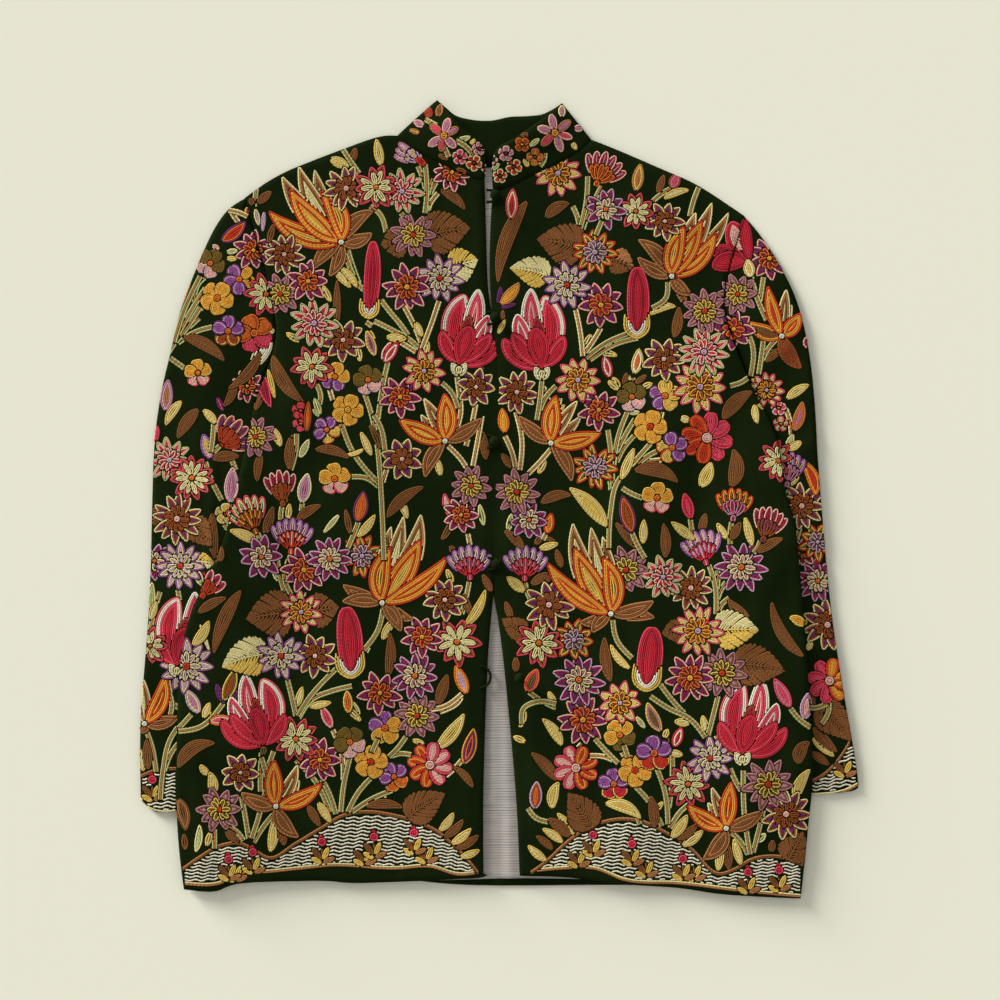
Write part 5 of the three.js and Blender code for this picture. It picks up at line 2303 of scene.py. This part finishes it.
    stalk((529, 692), (540, 700), (556, 708)), Leaf((520, 728), (526, 708), 8, (Y.STRAW, Y.MAUVE)),
    Leaf((556, 708), (548, 690), 8, HAY),
    # lower field
    Tulip(742, 754, 78, -1, 0, Y.CREAM), Daisy(768, 784, 25, Dyes.B, 11, 6),
    Daisy(786, 814, 25, Dyes.C, 11, 3), Daisy(710, 758, 23, Dyes.G, 11, 4),
    Daisy(688, 784, 22, Dyes.E, 10, 8),
    pinwheel(576, 768, 23, (Y.RED, Y.ORANGE, Y.GOLD, Y.FLAME), (Y.ROSE, Y.ROSE, Y.BLUSH), -68),
    pansy(620, 735, 16, HONEY, MOSS, 160),
    pansy(654, 753, 18, PANSY, (Y.STRAW, Y.RED, Y.FLAME), -170),
    Rosette(635, 770, 17, BUTTER, (), Y.FLAME, 5, -60),
    pansy(614, 784, 16, PANSY, (Y.STRAW, Y.RED), 190),
    lily((726, 828), ((731, 780, 18, 0.0), (687, 803, 18, -0.1)), ((764, 809, 15, 0.08),
        (702, 860, 17, -0.12)), ((711, 785, 12, 0.0), (707, 800, 9, -0.05))),
    Bud((535, 809), (537, 780), 13, (Y.LILAC, Y.RUST, Y.ORANGE), (Y.PURPLE,)),
    Leaf((570, 837), (547, 818), 12, BARK, 0.04), Leaf((562, 746), (541, 718), 11, HAY, 0.08),
    Leaf((557, 781), (530, 752), 12, BARK, 0.06), Leaf((553, 809), (560, 781), 12, HAY, -0.12),
    Leaf((526, 742), (512, 736), 7, HAY), Leaf((605, 804), (642, 820), 13, HAY, -0.14),
    Leaf((661, 731), (647, 701), 13, (Y.STRAW, Y.MAUVE, Y.OLIVE), -0.05),
    Bud((674, 747), (682, 726), 11, (Y.RED, Y.WHITE, Y.RED)), Leaf((669, 752), (684, 755), 8, HAY),
    Leaf((664, 738), (668, 728), 7, HAY), Leaf((668, 745), (664, 734), 7, BARK),
    Bud((790, 707), (773, 677), 13, (Y.ROSE, Y.MAUVE, Y.ROSE), (Y.ORANGE,)),
    Bud((804, 719), (808, 691), 13, (Y.LILAC, Y.MAUVE, Y.BLUSH), (Y.RED,)),
    Leaf((795, 801), (811, 768), 12, HAY, -0.1), Leaf((799, 764), (810, 741), 14, BARK, -0.2),
    Leaf((645, 728), (635, 715), 6, PALE),
    ToothLeaf((591, 829), (568, 793), 33, Y.BROWN, Y.BROWN, 0.03),
    ToothLeaf((788, 860), (803, 832), 30, Y.BROWN, Y.BROWN),
    Leaf((582, 831), (564, 809), 10, BARK, 0.04), Leaf((574, 835), (556, 812), 9, HAY, 0.04),
    Leaf((563, 843), (541, 828), 9, HAY, 0.04), Leaf((553, 850), (535, 835), 8, BARK, 0.04),
    Leaf((547, 861), (527, 844), 9, HAY, -0.04), Leaf((671, 838), (688, 813), 11, HAY, 0.05),
    Leaf((677, 840), (699, 822), 9, BARK, 0.05), Leaf((682, 846), (704, 829), 10, HAY, 0.05),
    Leaf((654, 828), (650, 794), 11, BARK, 0.05), Leaf((718, 871), (722, 844), 9, HAY),
    Leaf((729, 870), (726, 835), 10, BARK), Leaf((741, 865), (733, 837), 9, HAY),
    Leaf((771, 852), (773, 839), 8, BARK), stalk((716, 735), (722, 746), (735, 756), edge=Y.CREAM),
    stalk((743, 770), (744, 812), (750, 854)), stalk((730, 768), (735, 780), (742, 792)),
    stalk((763, 810), (758, 832), (753, 852)), stalk((730, 831), (741, 842), (748, 854)),
    Leaf((758, 842), (766, 832), 7, PALE), stalk((790, 708), (799, 719), (810, 727)),
    stalk((618, 798), (630, 806), (640, 824)), stalk((655, 764), (665, 792), (668, 824)),
    stalk((635, 786), (648, 800), (662, 826)), stalk((690, 803), (680, 812), (670, 828)),
    stalk((622, 752), (628, 762), edge=Y.CREAM), stalk((528, 808), (536, 818), (548, 822)),
    stalk((672, 748), (672, 780), (667, 820)), stalk((582, 744), (578, 748), edge=Y.CREAM),
    Leaf((655, 812), (664, 800), 6, HAY),
)

LEFT_SLEEVE: tuple[Motif, ...] = (
    Daisy(253, 250, 19, Dyes.A, 9), Daisy(266, 294, 21, Dyes.E, 10, 2),
    Rosette(217, 298, 17, BUTTER, (), Y.ORANGE, 5, -60), pansy(239, 279, 16, PANSY, BUTTER, 90),
    pansy(228, 331, 16, PANSY, (Y.RUST, Y.STRAW, Y.RUST), 198),
    pansy(254, 333, 19, (Y.ORANGE, Y.RUST, Y.ORANGE), CHERRY, 176),
    pansy(198, 373, 14, HONEY, PEACH, -170), pansy(210, 263, 15, MOSS, HEATHER, -130),
    Leaf((221, 241), (246, 220), 14, (Y.PURPLE, Y.ORANGE, Y.FLAME), 0.06),
    stalk((228, 210), (238, 212), (247, 216), edge=Y.CREAM),
    Bud((248, 215), (248, 205), 8, (Y.STRAW, Y.RED), (Y.STRAW,)),
    Leaf((226, 252), (239, 250), 6, PALE), Leaf((226, 258), (238, 259), 6, HAY),
    Leaf((219, 250), (212, 244), 6, (Y.BLUSH,)), Leaf((183, 337), (226, 363), 13, BARK, -0.1),
    Leaf((260, 352), (226, 390), 11, BARK, -0.1), Leaf((235, 381), (222, 408), 9, BARK, -0.1),
    Leaf((235, 390), (230, 405), 7, PALE), Leaf((217, 397), (224, 413), 6, (Y.PURPLE, Y.ROSE)),
    Leaf((272, 341), (249, 373), 15, (Y.CREAM, Y.WHITE), 0.04),
    Leaf((264, 330), (275, 331), 9, (Y.CREAM,)), stalk((174, 342), (184, 310), (200, 276)),
    stalk((174, 342), (190, 312), (205, 288)), stalk((176, 342), (188, 326), (200, 307)),
    stalk((178, 343), (195, 332), (212, 327)), Leaf((272, 368), (264, 412), 13, (Y.RED, Y.CRIMSON)),
    Daisy(247, 386, 16, Dyes.A, 9, 4), Leaf((273, 403), (273, 380), 6, HAY),
    Bud((165, 411), (168, 378), 13, (Y.MAUVE, Y.LILAC, Y.TAN), MOSS),
    Leaf((182, 401), (165, 427), 10, HAY, 0.08), Leaf((199, 409), (177, 440), 13, BARK, 0.06),
    Leaf((216, 424), (202, 409), 9, HAY, 0.06), stalk((214, 424), (213, 438), (211, 452)),
    Bud((211, 459), (203, 433), 13, (Y.IRIS, Y.LILAC, Y.STRAW), (Y.PURPLE,)),
    stalk((214, 452), (220, 446)),
    Fan(221, 446, 34, -43, 84, (Y.BLUSH, Y.RUST, Y.PURPLE), (Y.FLAME, Y.RUST), 6, 10),
    Daisy(192, 478, 22, Dyes.E, 11, 8), Daisy(169, 460, 22, Dyes.H, 11, 3),
    Daisy(177, 519, 25, Dyes.C, 12, 5), Daisy(180, 566, 24, Dyes.G, 12, 2),
    Daisy(154, 561, 18, Dyes.D, 9, 2), Daisy(150, 646, 18, Dyes.E, 9, 6),
    ToothLeaf((190, 520), (212, 546), 26, Y.BROWN, Y.BROWN),
    ToothLeaf((166, 512), (151, 524), 26, Y.BROWN, Y.BROWN),
    Leaf((213, 512), (218, 566), 11, BARK, 0.04),
    Bud((231, 503), (233, 466), 15, (Y.BLUSH, Y.LILAC, Y.MAUVE), (Y.ORANGE,)),
    Fan(256, 531, 38, -112, 66, (Y.ROSE, Y.CREAM, Y.SAGE), (Y.RUST, Y.GOLD), 6, 9),
    Leaf((212, 459), (241, 457), 11, BARK, -0.06),
    Rosette(226, 514, 11, (Y.CREAM, Y.STRAW), (), Y.FLAME, 5),
    Leaf((265, 535), (274, 505), 10, BARK), Leaf((259, 543), (229, 530), 11, HAY, 0.05),
    Fan(283, 503, 34, -97, 56, BERRY, (Y.RUST,), 5, 8),
    ToothLeaf((196, 561), (215, 563), 18, Y.CREAM, Y.STRAW), Leaf((196, 570), (203, 587), 9, PALE),
    Daisy(262, 557, 20, Dyes.D, 8, 2), Leaf((157, 425), (153, 447), 8, (Y.ROSE,)),
    Tulip(177, 666, 76, -1, 0),
    Fan(204, 595, 28, -60, 60, (Y.BLUSH, Y.RED, Y.PURPLE), (Y.FLAME, Y.RUST), 4, 9),
    Leaf((201, 614), (228, 598), 10, BARK, -0.05), Daisy(187, 666, 27, Dyes.G, 12, 3),
    Leaf((193, 645), (210, 619), 11, HAY, 0.08), Leaf((191, 620), (199, 619), 7, (Y.RED, Y.BLUSH)),
    Leaf((150, 620), (157, 600), 8, HAY), Leaf((150, 614), (152, 580), 9, PALE),
    Burst((144, 724), ((164, 672, 18, 0.12, LILY), (142, 676, 15, 0.0, LILY_BACK),
        (180, 716, 14, 0.08, SEPAL), (140, 696, 12, -0.04, LILY), (142, 734, 12, 0.0, SEPAL)),
        Form.LEAF, 3.0, Y.WHITE),
    Leaf((148, 770), (146, 738), 10, BARK), Leaf((143, 772), (141, 748), 8, HAY),
    stalk((166, 688), (172, 704), (170, 716)), stalk((170, 660), (168, 680), (172, 700)),
    stalk((160, 800), (163, 770), (170, 740), (182, 722)),
    stalk((156, 772), (152, 748), (145, 728)), stalk((164, 772), (172, 752), (186, 736)),
    stalk((158, 700), (176, 706), (186, 716)), stalk((178, 590), (180, 602)),
    stalk((160, 592), (154, 612), (150, 630)),
    stalk((252, 190), (257, 212), (262, 232), edge=Y.CREAM),
    stalk((229, 209), (238, 222), edge=Y.CREAM),
    stalk((155, 400), (160, 372), (170, 350), (199, 318)),
    stalk((168, 352), (178, 318), (190, 284)), stalk((172, 346), (188, 320), (204, 306)),
    stalk((170, 358), (184, 368)), stalk((176, 340), (200, 330), (214, 328)),
    stalk((194, 302), (198, 284), (206, 276)), stalk((232, 460), (236, 470)),
    stalk((206, 462), (212, 480), (222, 500)), stalk((232, 500), (238, 520), (246, 536)),
    stalk((223, 522), (232, 534), (244, 548)), stalk((248, 530), (252, 548)),
    stalk((262, 456), (258, 480), (262, 500)),
)

RIGHT_SLEEVE: tuple[Motif, ...] = (
    Leaf((751, 277), (748, 258), 12, (Y.STRAW, Y.WHITE, Y.STRAW)),
    Burst((751, 264), ((713, 268, 20, 0.14, (Y.RED, Y.CRIMSON, Y.RED)),
        (712, 248, 20, 0.0, (Y.RED, Y.RED, Y.CRIMSON)), (745, 217, 13, -0.02, (Y.CRIMSON, Y.RED)),
        (732, 221, 24, -0.04, (Y.ROSE, Y.RED, Y.RED, Y.BLUSH))), Form.PETAL, 3.0, Y.STRAW),
    Daisy(770, 258, 21, Dyes.A, 9, 4), Daisy(738, 294, 20, Dyes.B, 10),
    Daisy(734, 329, 20, Dyes.A, 8, 4),
    Burst((782, 336), ((768, 284, 15, -0.04, LILY), (801, 312, 17, 0.08, LILY),
        (748, 321, 16, -0.1, (Y.ORANGE, Y.GOLD, Y.BROWN)),
        (803, 369, 17, 0.1, (Y.RUST, Y.BROWN, Y.RUST)), (787, 287, 13, 0.0, LILY_BACK),
        (793, 302, 9, 0.0, LILY_BACK)), Form.LEAF, 3.0, Y.WHITE),
    stalk((746, 329), (753, 346), (751, 376)), stalk((764, 337), (762, 354), (759, 374)),
    stalk((778, 338), (769, 348), (763, 360)), Leaf((765, 362), (783, 350), 10, BARK, -0.08),
    Daisy(767, 390, 18, Dyes.I, 11, 2), Leaf((808, 348), (806, 336), 8, BERRY),
    Leaf((723, 420), (754, 391), 15, BARK, -0.1), Leaf((756, 424), (762, 403), 9, HAY, -0.14),
    Leaf((787, 399), (811, 384), 10, HAY, -0.05), Rosette(779, 408, 8, DAWN, (), Y.ORANGE, 5),
    Rosette(781, 424, 8, (Y.ROSE, Y.SAGE), (), Y.ORANGE, 5),
    Leaf((794, 431), (803, 400), 12, (Y.TAN, Y.ORANGE, Y.MAUVE), 0.05),
    Daisy(772, 458, 20, Dyes.E, 10, 3), Leaf((784, 398), (748, 378), 8, HAY, 0.04),
    Fan(787, 484, 33, -80, 52, (Y.IRIS, Y.LILAC, Y.STRAW), (Y.MAUVE,), 5, 9),
    Leaf((788, 450), (803, 441), 9, HAY), Leaf((787, 450), (794, 433), 8, PALE),
    Leaf((816, 496), (800, 459), 13, (Y.ORANGE, Y.GOLD, Y.FLAME), 0.12),
    stalk((787, 486), (782, 500), (779, 514)), Daisy(802, 506, 23, Dyes.C, 11, 5),
    Fan(763, 539, 34, -72, 62, BERRY, (Y.RUST, Y.PURPLE), 6, 8),
    Leaf((788, 486), (801, 471), 9, HAY), Daisy(818, 542, 19, Dyes.F, 9, 4),
    Leaf((757, 553), (784, 538), 10, BARK, -0.06), Leaf((799, 566), (789, 555), 10, HAY),
    Daisy(803, 551, 15, Dyes.A, 8, 3), Daisy(818, 581, 21, Dyes.D, 11, 3),
    Daisy(828, 625, 25, Dyes.C, 11, 6), Leaf((800, 592), (796, 572), 6, (Y.BLUSH, Y.RUST)),
    Leaf((806, 626), (788, 616), 12, (Y.STRAW, Y.GOLD, Y.STRAW), 0.15),
    pinwheel(830, 681, 23, (Y.FLAME, Y.ORANGE, Y.GOLD), CHERRY, -80),
    stalk((752, 277), (757, 296), (767, 320)), stalk((764, 277), (762, 290), (760, 303)),
    stalk((784, 404), (790, 420), (792, 440), edge=Y.CREAM),
    stalk((768, 540), (776, 556), (790, 572)), stalk((800, 528), (796, 545), (797, 570)),
    Leaf((806, 650), (812, 640), 9, HAY), stalk((800, 702), (812, 708), (828, 704)),
    stalk((829, 698), (829, 712), (822, 724)),
    ToothLeaf((818, 707), (851, 741), 32, Y.BROWN, Y.BROWN, -0.05),
    Leaf((813, 727), (839, 753), 11, BARK, 0.04), Leaf((812, 738), (836, 758), 9, HAY),
    Leaf((811, 752), (831, 766), 9, BARK),
    Bud((804, 719), (808, 691), 13, (Y.LILAC, Y.MAUVE, Y.BLUSH), (Y.RED,)),
    Leaf((812, 712), (812, 692), 8, BARK),
)

LEFT_COLLAR: tuple[Motif, ...] = (
    Burst((444, 136), ((449, 118, 9, 0.0, DUSK), (459, 128, 8, 0.0, (Y.TAN, Y.MAUVE)),
        (456, 148, 9, 0.0, DUSK), (441, 152, 8, 0.0, (Y.TAN, Y.ROSE)), (428, 146, 9, 0.0, DUSK),
        (430, 124, 9, 0.0, (Y.TAN, Y.ROSE))), Form.PETAL, 3.6, Y.GOLD),
    Rosette(460, 157, 8, DAWN, (), Y.CRIMSON, 5), Rosette(479, 149, 7, DUSK, (), Y.CRIMSON, 5),
    Rosette(474, 163, 8.5, (Y.CREAM, Y.FLAME), (), Y.CRIMSON, 5, -60),
    Rosette(487, 169, 6, DAWN, (), Y.CRIMSON, 4),
    Bud((430, 118), (427, 105), 9, (Y.RED, Y.RUST), (Y.RUST,)),
    Leaf((438, 117), (441, 103), 8, (Y.TAN, Y.BROWN)), Leaf((424, 126), (413, 120), 8, DUSK),
    Leaf((420, 133), (408, 129), 6, (Y.TAN, Y.STRAW)), stalk((425, 119), (432, 123), (439, 127)),
    stalk((445, 148), (449, 157)), stalk((456, 141), (466, 147), (474, 156)),
    Leaf((457, 140), (472, 136), 6, PALE, 0.08), Leaf((449, 159), (437, 154), 6, BARK),
    Leaf((487, 156), (485, 142), 6, (Y.BLUSH,)), Leaf((467, 173), (455, 168), 6, BARK),
    Leaf((470, 145), (476, 139), 5, HAY),
)

RIGHT_COLLAR: tuple[Motif, ...] = (
    Burst((555, 133), ((551, 114, 9, 0.0, DUSK), (571, 120, 9, 0.0, (Y.TAN, Y.MAUVE)),
        (573, 138, 8, 0.0, DAWN), (562, 152, 9, 0.0, DUSK), (541, 146, 9, 0.0, (Y.TAN, Y.ROSE)),
        (537, 128, 9, 0.0, DUSK)), Form.PETAL, 3.6, Y.GOLD),
    Rosette(506, 154, 8, DUSK, (), Y.CRIMSON, 5),
    Rosette(514, 167, 8.5, (Y.CREAM, Y.FLAME), (), Y.CRIMSON, 5, -60),
    Rosette(500, 176, 7.5, (Y.CREAM, Y.FLAME), (), Y.CRIMSON, 5),
    Rosette(522, 145, 8, (Y.ORANGE, Y.RUST), (), Y.GOLD, 4, -45),
    Rosette(535, 157, 9, (Y.TAN, Y.ORANGE, Y.GOLD), (), Y.RUST, 4, -90),
    Rosette(493, 160, 5, (Y.BLUSH,), (), Y.ROSE, 4),
    Leaf((562, 117), (562, 104), 8, (Y.CREAM, Y.MAUVE)),
    Leaf((569, 113), (576, 108), 6, (Y.MAUVE,)), Leaf((574, 128), (584, 128), 8, DUSK),
    Leaf((572, 142), (577, 150), 6, HAY), Leaf((529, 147), (541, 138), 6, (Y.SAGE, Y.CREAM)),
    Leaf((492, 170), (500, 163), 6, PALE), Leaf((524, 158), (529, 168), 6, HAY),
    stalk((545, 153), (544, 160), (540, 166)), Leaf((529, 135), (520, 136), 6, BARK),
)

LEFT_HEM = Hill(
    ridge=((183, 868), (200, 856), (219, 845), (240, 842), (256, 850), (269, 857), (295, 843),
           (325, 825), (342, 815), (368, 811), (395, 815), (417, 821), (438, 831), (452, 843),
           (466, 857), (478, 872)),
    foot=((185, 884), (224, 882), (236, 875), (270, 872), (300, 869), (330, 866), (396, 869),
          (430, 867), (460, 875), (478, 873)),
    sprigs=((229, 862), (253, 855), (322, 845), (374, 840), (414, 836)),
    tufts=((364, 850), (426, 848), (235, 866)),
)
RIGHT_HEM = Hill(
    ridge=((531, 872), (547, 860), (564, 844), (583, 830), (604, 821), (622, 818), (644, 821),
           (661, 829), (690, 847), (721, 873), (735, 868), (752, 858), (772, 855), (803, 864)),
    foot=((531, 872), (560, 869), (595, 869), (624, 880), (680, 884), (740, 891), (803, 897)),
    sprigs=((593, 838), (632, 847), (683, 862), (748, 875), (779, 873)),
    tufts=((578, 852), (646, 862), (694, 866)),
)
LEFT_CUFF = Hill(
    ridge=((140, 776), (155, 770), (178, 768)),
    foot=((140, 800), (146, 808), (154, 812), (178, 812)),
    sprigs=((152, 783),),
)
RIGHT_CUFF = Hill(
    ridge=((811, 781), (824, 774), (838, 760), (850, 742)),
    foot=((811, 796), (850, 790), (859, 785)),
    tufts=((845, 762),),
)


# -------------------------------------------------------------------- creases
LEFT_CREASES = (
    Fold(268, 300, 300, 430, 12, 1.5), Fold(300, 226, 372, 262, 11, 1.1),
    Fold(214, 560, 252, 640, 13, 1.6), Fold(262, 470, 300, 590, 14, -1.2),
    Fold(330, 560, 352, 700, 15, 1.1), Fold(398, 640, 404, 800, 14, -1.0),
    Fold(238, 690, 262, 800, 12, 1.2), Fold(440, 220, 452, 330, 10, -0.9),
    Fold(196, 760, 204, 860, 9, 1.2), Fold(478, 190, 483, 560, 6, 0.7),
    Fold(468, 700, 470, 860, 9, 0.9), Fold(290, 800, 300, 860, 10, -0.9),
)
RIGHT_CREASES = (
    Fold(742, 290, 716, 420, 12, 1.5), Fold(706, 222, 640, 256, 11, 1.0),
    Fold(790, 540, 742, 640, 13, 1.6), Fold(700, 470, 690, 600, 14, -1.2),
    Fold(652, 600, 640, 730, 15, 1.0), Fold(590, 650, 596, 800, 13, -1.0),
    Fold(760, 690, 752, 810, 12, 1.3), Fold(548, 220, 540, 320, 10, -0.9),
    Fold(794, 740, 792, 850, 8, 1.1), Fold(507, 200, 506, 560, 6, 0.7),
    Fold(530, 700, 538, 850, 9, 0.9), Fold(700, 790, 706, 850, 10, -0.9),
)
LEFT_SLEEVE_CREASES = (
    Fold(176, 350, 238, 392, 9, 1.1), Fold(160, 470, 214, 500, 9, 1.3),
    Fold(152, 560, 205, 566, 8, -1.0), Fold(150, 640, 196, 626, 9, 1.1),
    Fold(214, 463, 209, 569, 5, 1.4), Fold(146, 706, 176, 690, 8, -0.8),
)
RIGHT_SLEEVE_CREASES = (
    Fold(800, 330, 762, 372, 9, 1.1), Fold(814, 440, 786, 470, 8, 1.3),
    Fold(826, 560, 800, 540, 8, -1.0), Fold(836, 660, 812, 640, 8, 1.1),
    Fold(842, 730, 820, 700, 8, -0.8),
)
LINING_CREASES = (
    Fold(497, 640, 492, 800, 5, 1.0), Fold(505, 700, 511, 878, 5, 1.3),
    Fold(489, 760, 490, 878, 5, -0.8), Fold(500, 820, 500, 882, 4, -0.8),
)


# ---------------------------------------------------------------------- the coat
def cloth_pieces() -> list[Panel]:
    """List the cloth pieces from the ground up.

    Returns:
        The pieces, with their flat sizes and areas in metres.
    """
    wall, sleeve_wall, collar_wall = 2 * MM, 1.4 * MM, 2.2 * MM
    small = {"spacing": 3 * MM, "soften": 5 * MM}
    return [
        Panel("back_cloth", ("back",), wall, (0.615, 0.740), 0.378, ("ground",)),
        Panel("lining_silk", ("back_lining",), 1 * MM, (0.152, 0.699), 0.097,
              ("back_cloth",), slot="silk_lining", folds=LINING_CREASES),
        Sleeve("sleeve_left_cloth", ("sleeve_left_top", "sleeve_left_under"), sleeve_wall,
               (0.342, 0.597), 0.144, ("ground",), folds=LEFT_SLEEVE_CREASES),
        Sleeve("sleeve_right_cloth", ("sleeve_right_top", "sleeve_right_under"), sleeve_wall,
               (0.316, 0.567), 0.112, ("ground",), folds=RIGHT_SLEEVE_CREASES),
        Panel("front_left_cloth", ("front_left",), wall, (0.306, 0.733), 0.181,
              ("back_cloth", "sleeve_left_cloth"), folds=LEFT_CREASES),
        Panel("front_right_cloth", ("front_right",), wall, (0.312, 0.736), 0.188,
              ("back_cloth", "sleeve_right_cloth"), folds=RIGHT_CREASES),
        Panel("collar_back_cloth", ("collar_back",), collar_wall, (0.188, 0.062), 0.0082,
              ("ground",), pucker=0.1 * MM, **small),
        Panel("collar_left_cloth", ("collar_left",), collar_wall, (0.085, 0.077), 0.0033,
              ("front_left_cloth",), pucker=0.15 * MM, **small),
        Panel("collar_right_cloth", ("collar_right",), collar_wall, (0.095, 0.083), 0.0038,
              ("front_right_cloth",), pucker=0.15 * MM, **small),
    ]


def main() -> None:
    """Build the coat from the ground up."""
    finishes = {
        "wool_cloth": WoolCloth("wool_cloth", linear(18, 28, 7)).material(),
        "silk_lining": SlubSilk("silk_lining", linear(158, 151, 143)).material(),
    }
    made = [piece.build(finishes[piece.slot]) for piece in cloth_pieces()]
    for number in range(1, BUTTONS + 1):
        CoveredBall(f"button_{number}").build(finishes["wool_cloth"])
        CordLoop(f"loop_{number}").build(finishes["wool_cloth"])
    embroider(made)


def embroider(cloths: Sequence[bpy.types.Object]) -> None:
    """Work the flowers and the hills on the coat.

    Args:
        cloths: The finished cloth pieces.
    """
    sampler = Sampler(cloths)
    for cloth, motifs in (
        ("collar_left_cloth", LEFT_COLLAR), ("collar_right_cloth", RIGHT_COLLAR),
        ("front_left_cloth", LEFT_FRONT), ("front_left_cloth", (LEFT_HEM,)),
        ("front_right_cloth", RIGHT_FRONT), ("front_right_cloth", (RIGHT_HEM,)),
        ("sleeve_left_cloth", LEFT_SLEEVE), ("sleeve_left_cloth", (LEFT_CUFF,)),
        ("sleeve_right_cloth", RIGHT_SLEEVE), ("sleeve_right_cloth", (RIGHT_CUFF,)),
    ):
        sampler.work(cloth, motifs)
    stitcher = ChainStitch(CrewelWool("embroidery_wool").material())

    def above(row: LaidRow) -> bool:
        """Whether the row starts above the waist line."""
        return row.points[0][1] > WAIST

    def below(row: LaidRow) -> bool:
        """Whether the row starts below the waist line."""
        return not above(row)

    for side in ("left", "right"):
        sampler.finish(f"collar_{side}_cloth", f"flowers_collar_{side}", stitcher)
        sampler.finish(f"front_{side}_cloth", f"flowers_{side}_upper", stitcher, above)
        sampler.finish(f"front_{side}_cloth", f"flowers_{side}_lower", stitcher, below)
        sampler.finish(f"sleeve_{side}_cloth", f"flowers_sleeve_{side}", stitcher)


def sunlight(name: str, along: Sequence[float], spread: float, strength: float) -> None:
    """Light everything evenly from one side.

    Args:
        name: Name of the lamp.
        along: Direction in which the light travels.
        spread: Apparent width of the lamp in degrees.
        strength: Its strength.
    """
    lamp = bpy.data.lights.new(name, "SUN")
    lamp.angle = math.radians(spread)
    lamp.energy = strength
    hung = bpy.data.objects.new(name, lamp)
    hung.location = -Vector(along)
    hung.rotation_euler = Vector(along).to_track_quat("-Z", "Y").to_euler()
    bpy.context.scene.collection.objects.link(hung)


def stage() -> None:
    """Set up the floor, the lamps and the camera above the coat."""
    ground = Shader("paper_ground", Roughness=0.9, Base_Color=(*linear(231, 229, 208), 1))
    bpy.ops.mesh.primitive_plane_add(size=6, location=(0, 0, -0.0006))
    floor = bpy.context.object
    floor.name = "paper_ground"
    floor.data.materials.append(ground.material)
    sunlight("key", (1.3, -1.25, -0.75), 15, 1.64)
    sunlight("skim", (1.25, -1.3, -0.29), 20, 4.9)  # low light, which brings out the folds
    world = bpy.data.worlds.new("room")
    world.use_nodes = True
    room = world.node_tree.nodes["Background"].inputs
    room["Color"].default_value = (1.0, 1.0, 1.0, 1)
    room["Strength"].default_value = 0.54
    scene = bpy.context.scene
    scene.world = world
    scene.view_settings.view_transform = "Standard"
    camera = bpy.data.cameras.new("above")
    height, view, cloth_height = 2.4, 0.97, 0.008
    camera.sensor_width = 36
    camera.lens = camera.sensor_width / (view / (height - cloth_height))
    seen = bpy.data.objects.new("above", camera)
    seen.location = (0.5 * CHART_SQUARE, -0.5 * CHART_SQUARE, height)
    scene.collection.objects.link(seen)
    scene.camera = seen


if __name__ == "__main__":
    logging.basicConfig(level=logging.INFO, stream=sys.stdout, format="%(message)s")
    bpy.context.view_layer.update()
    main()
    stage()
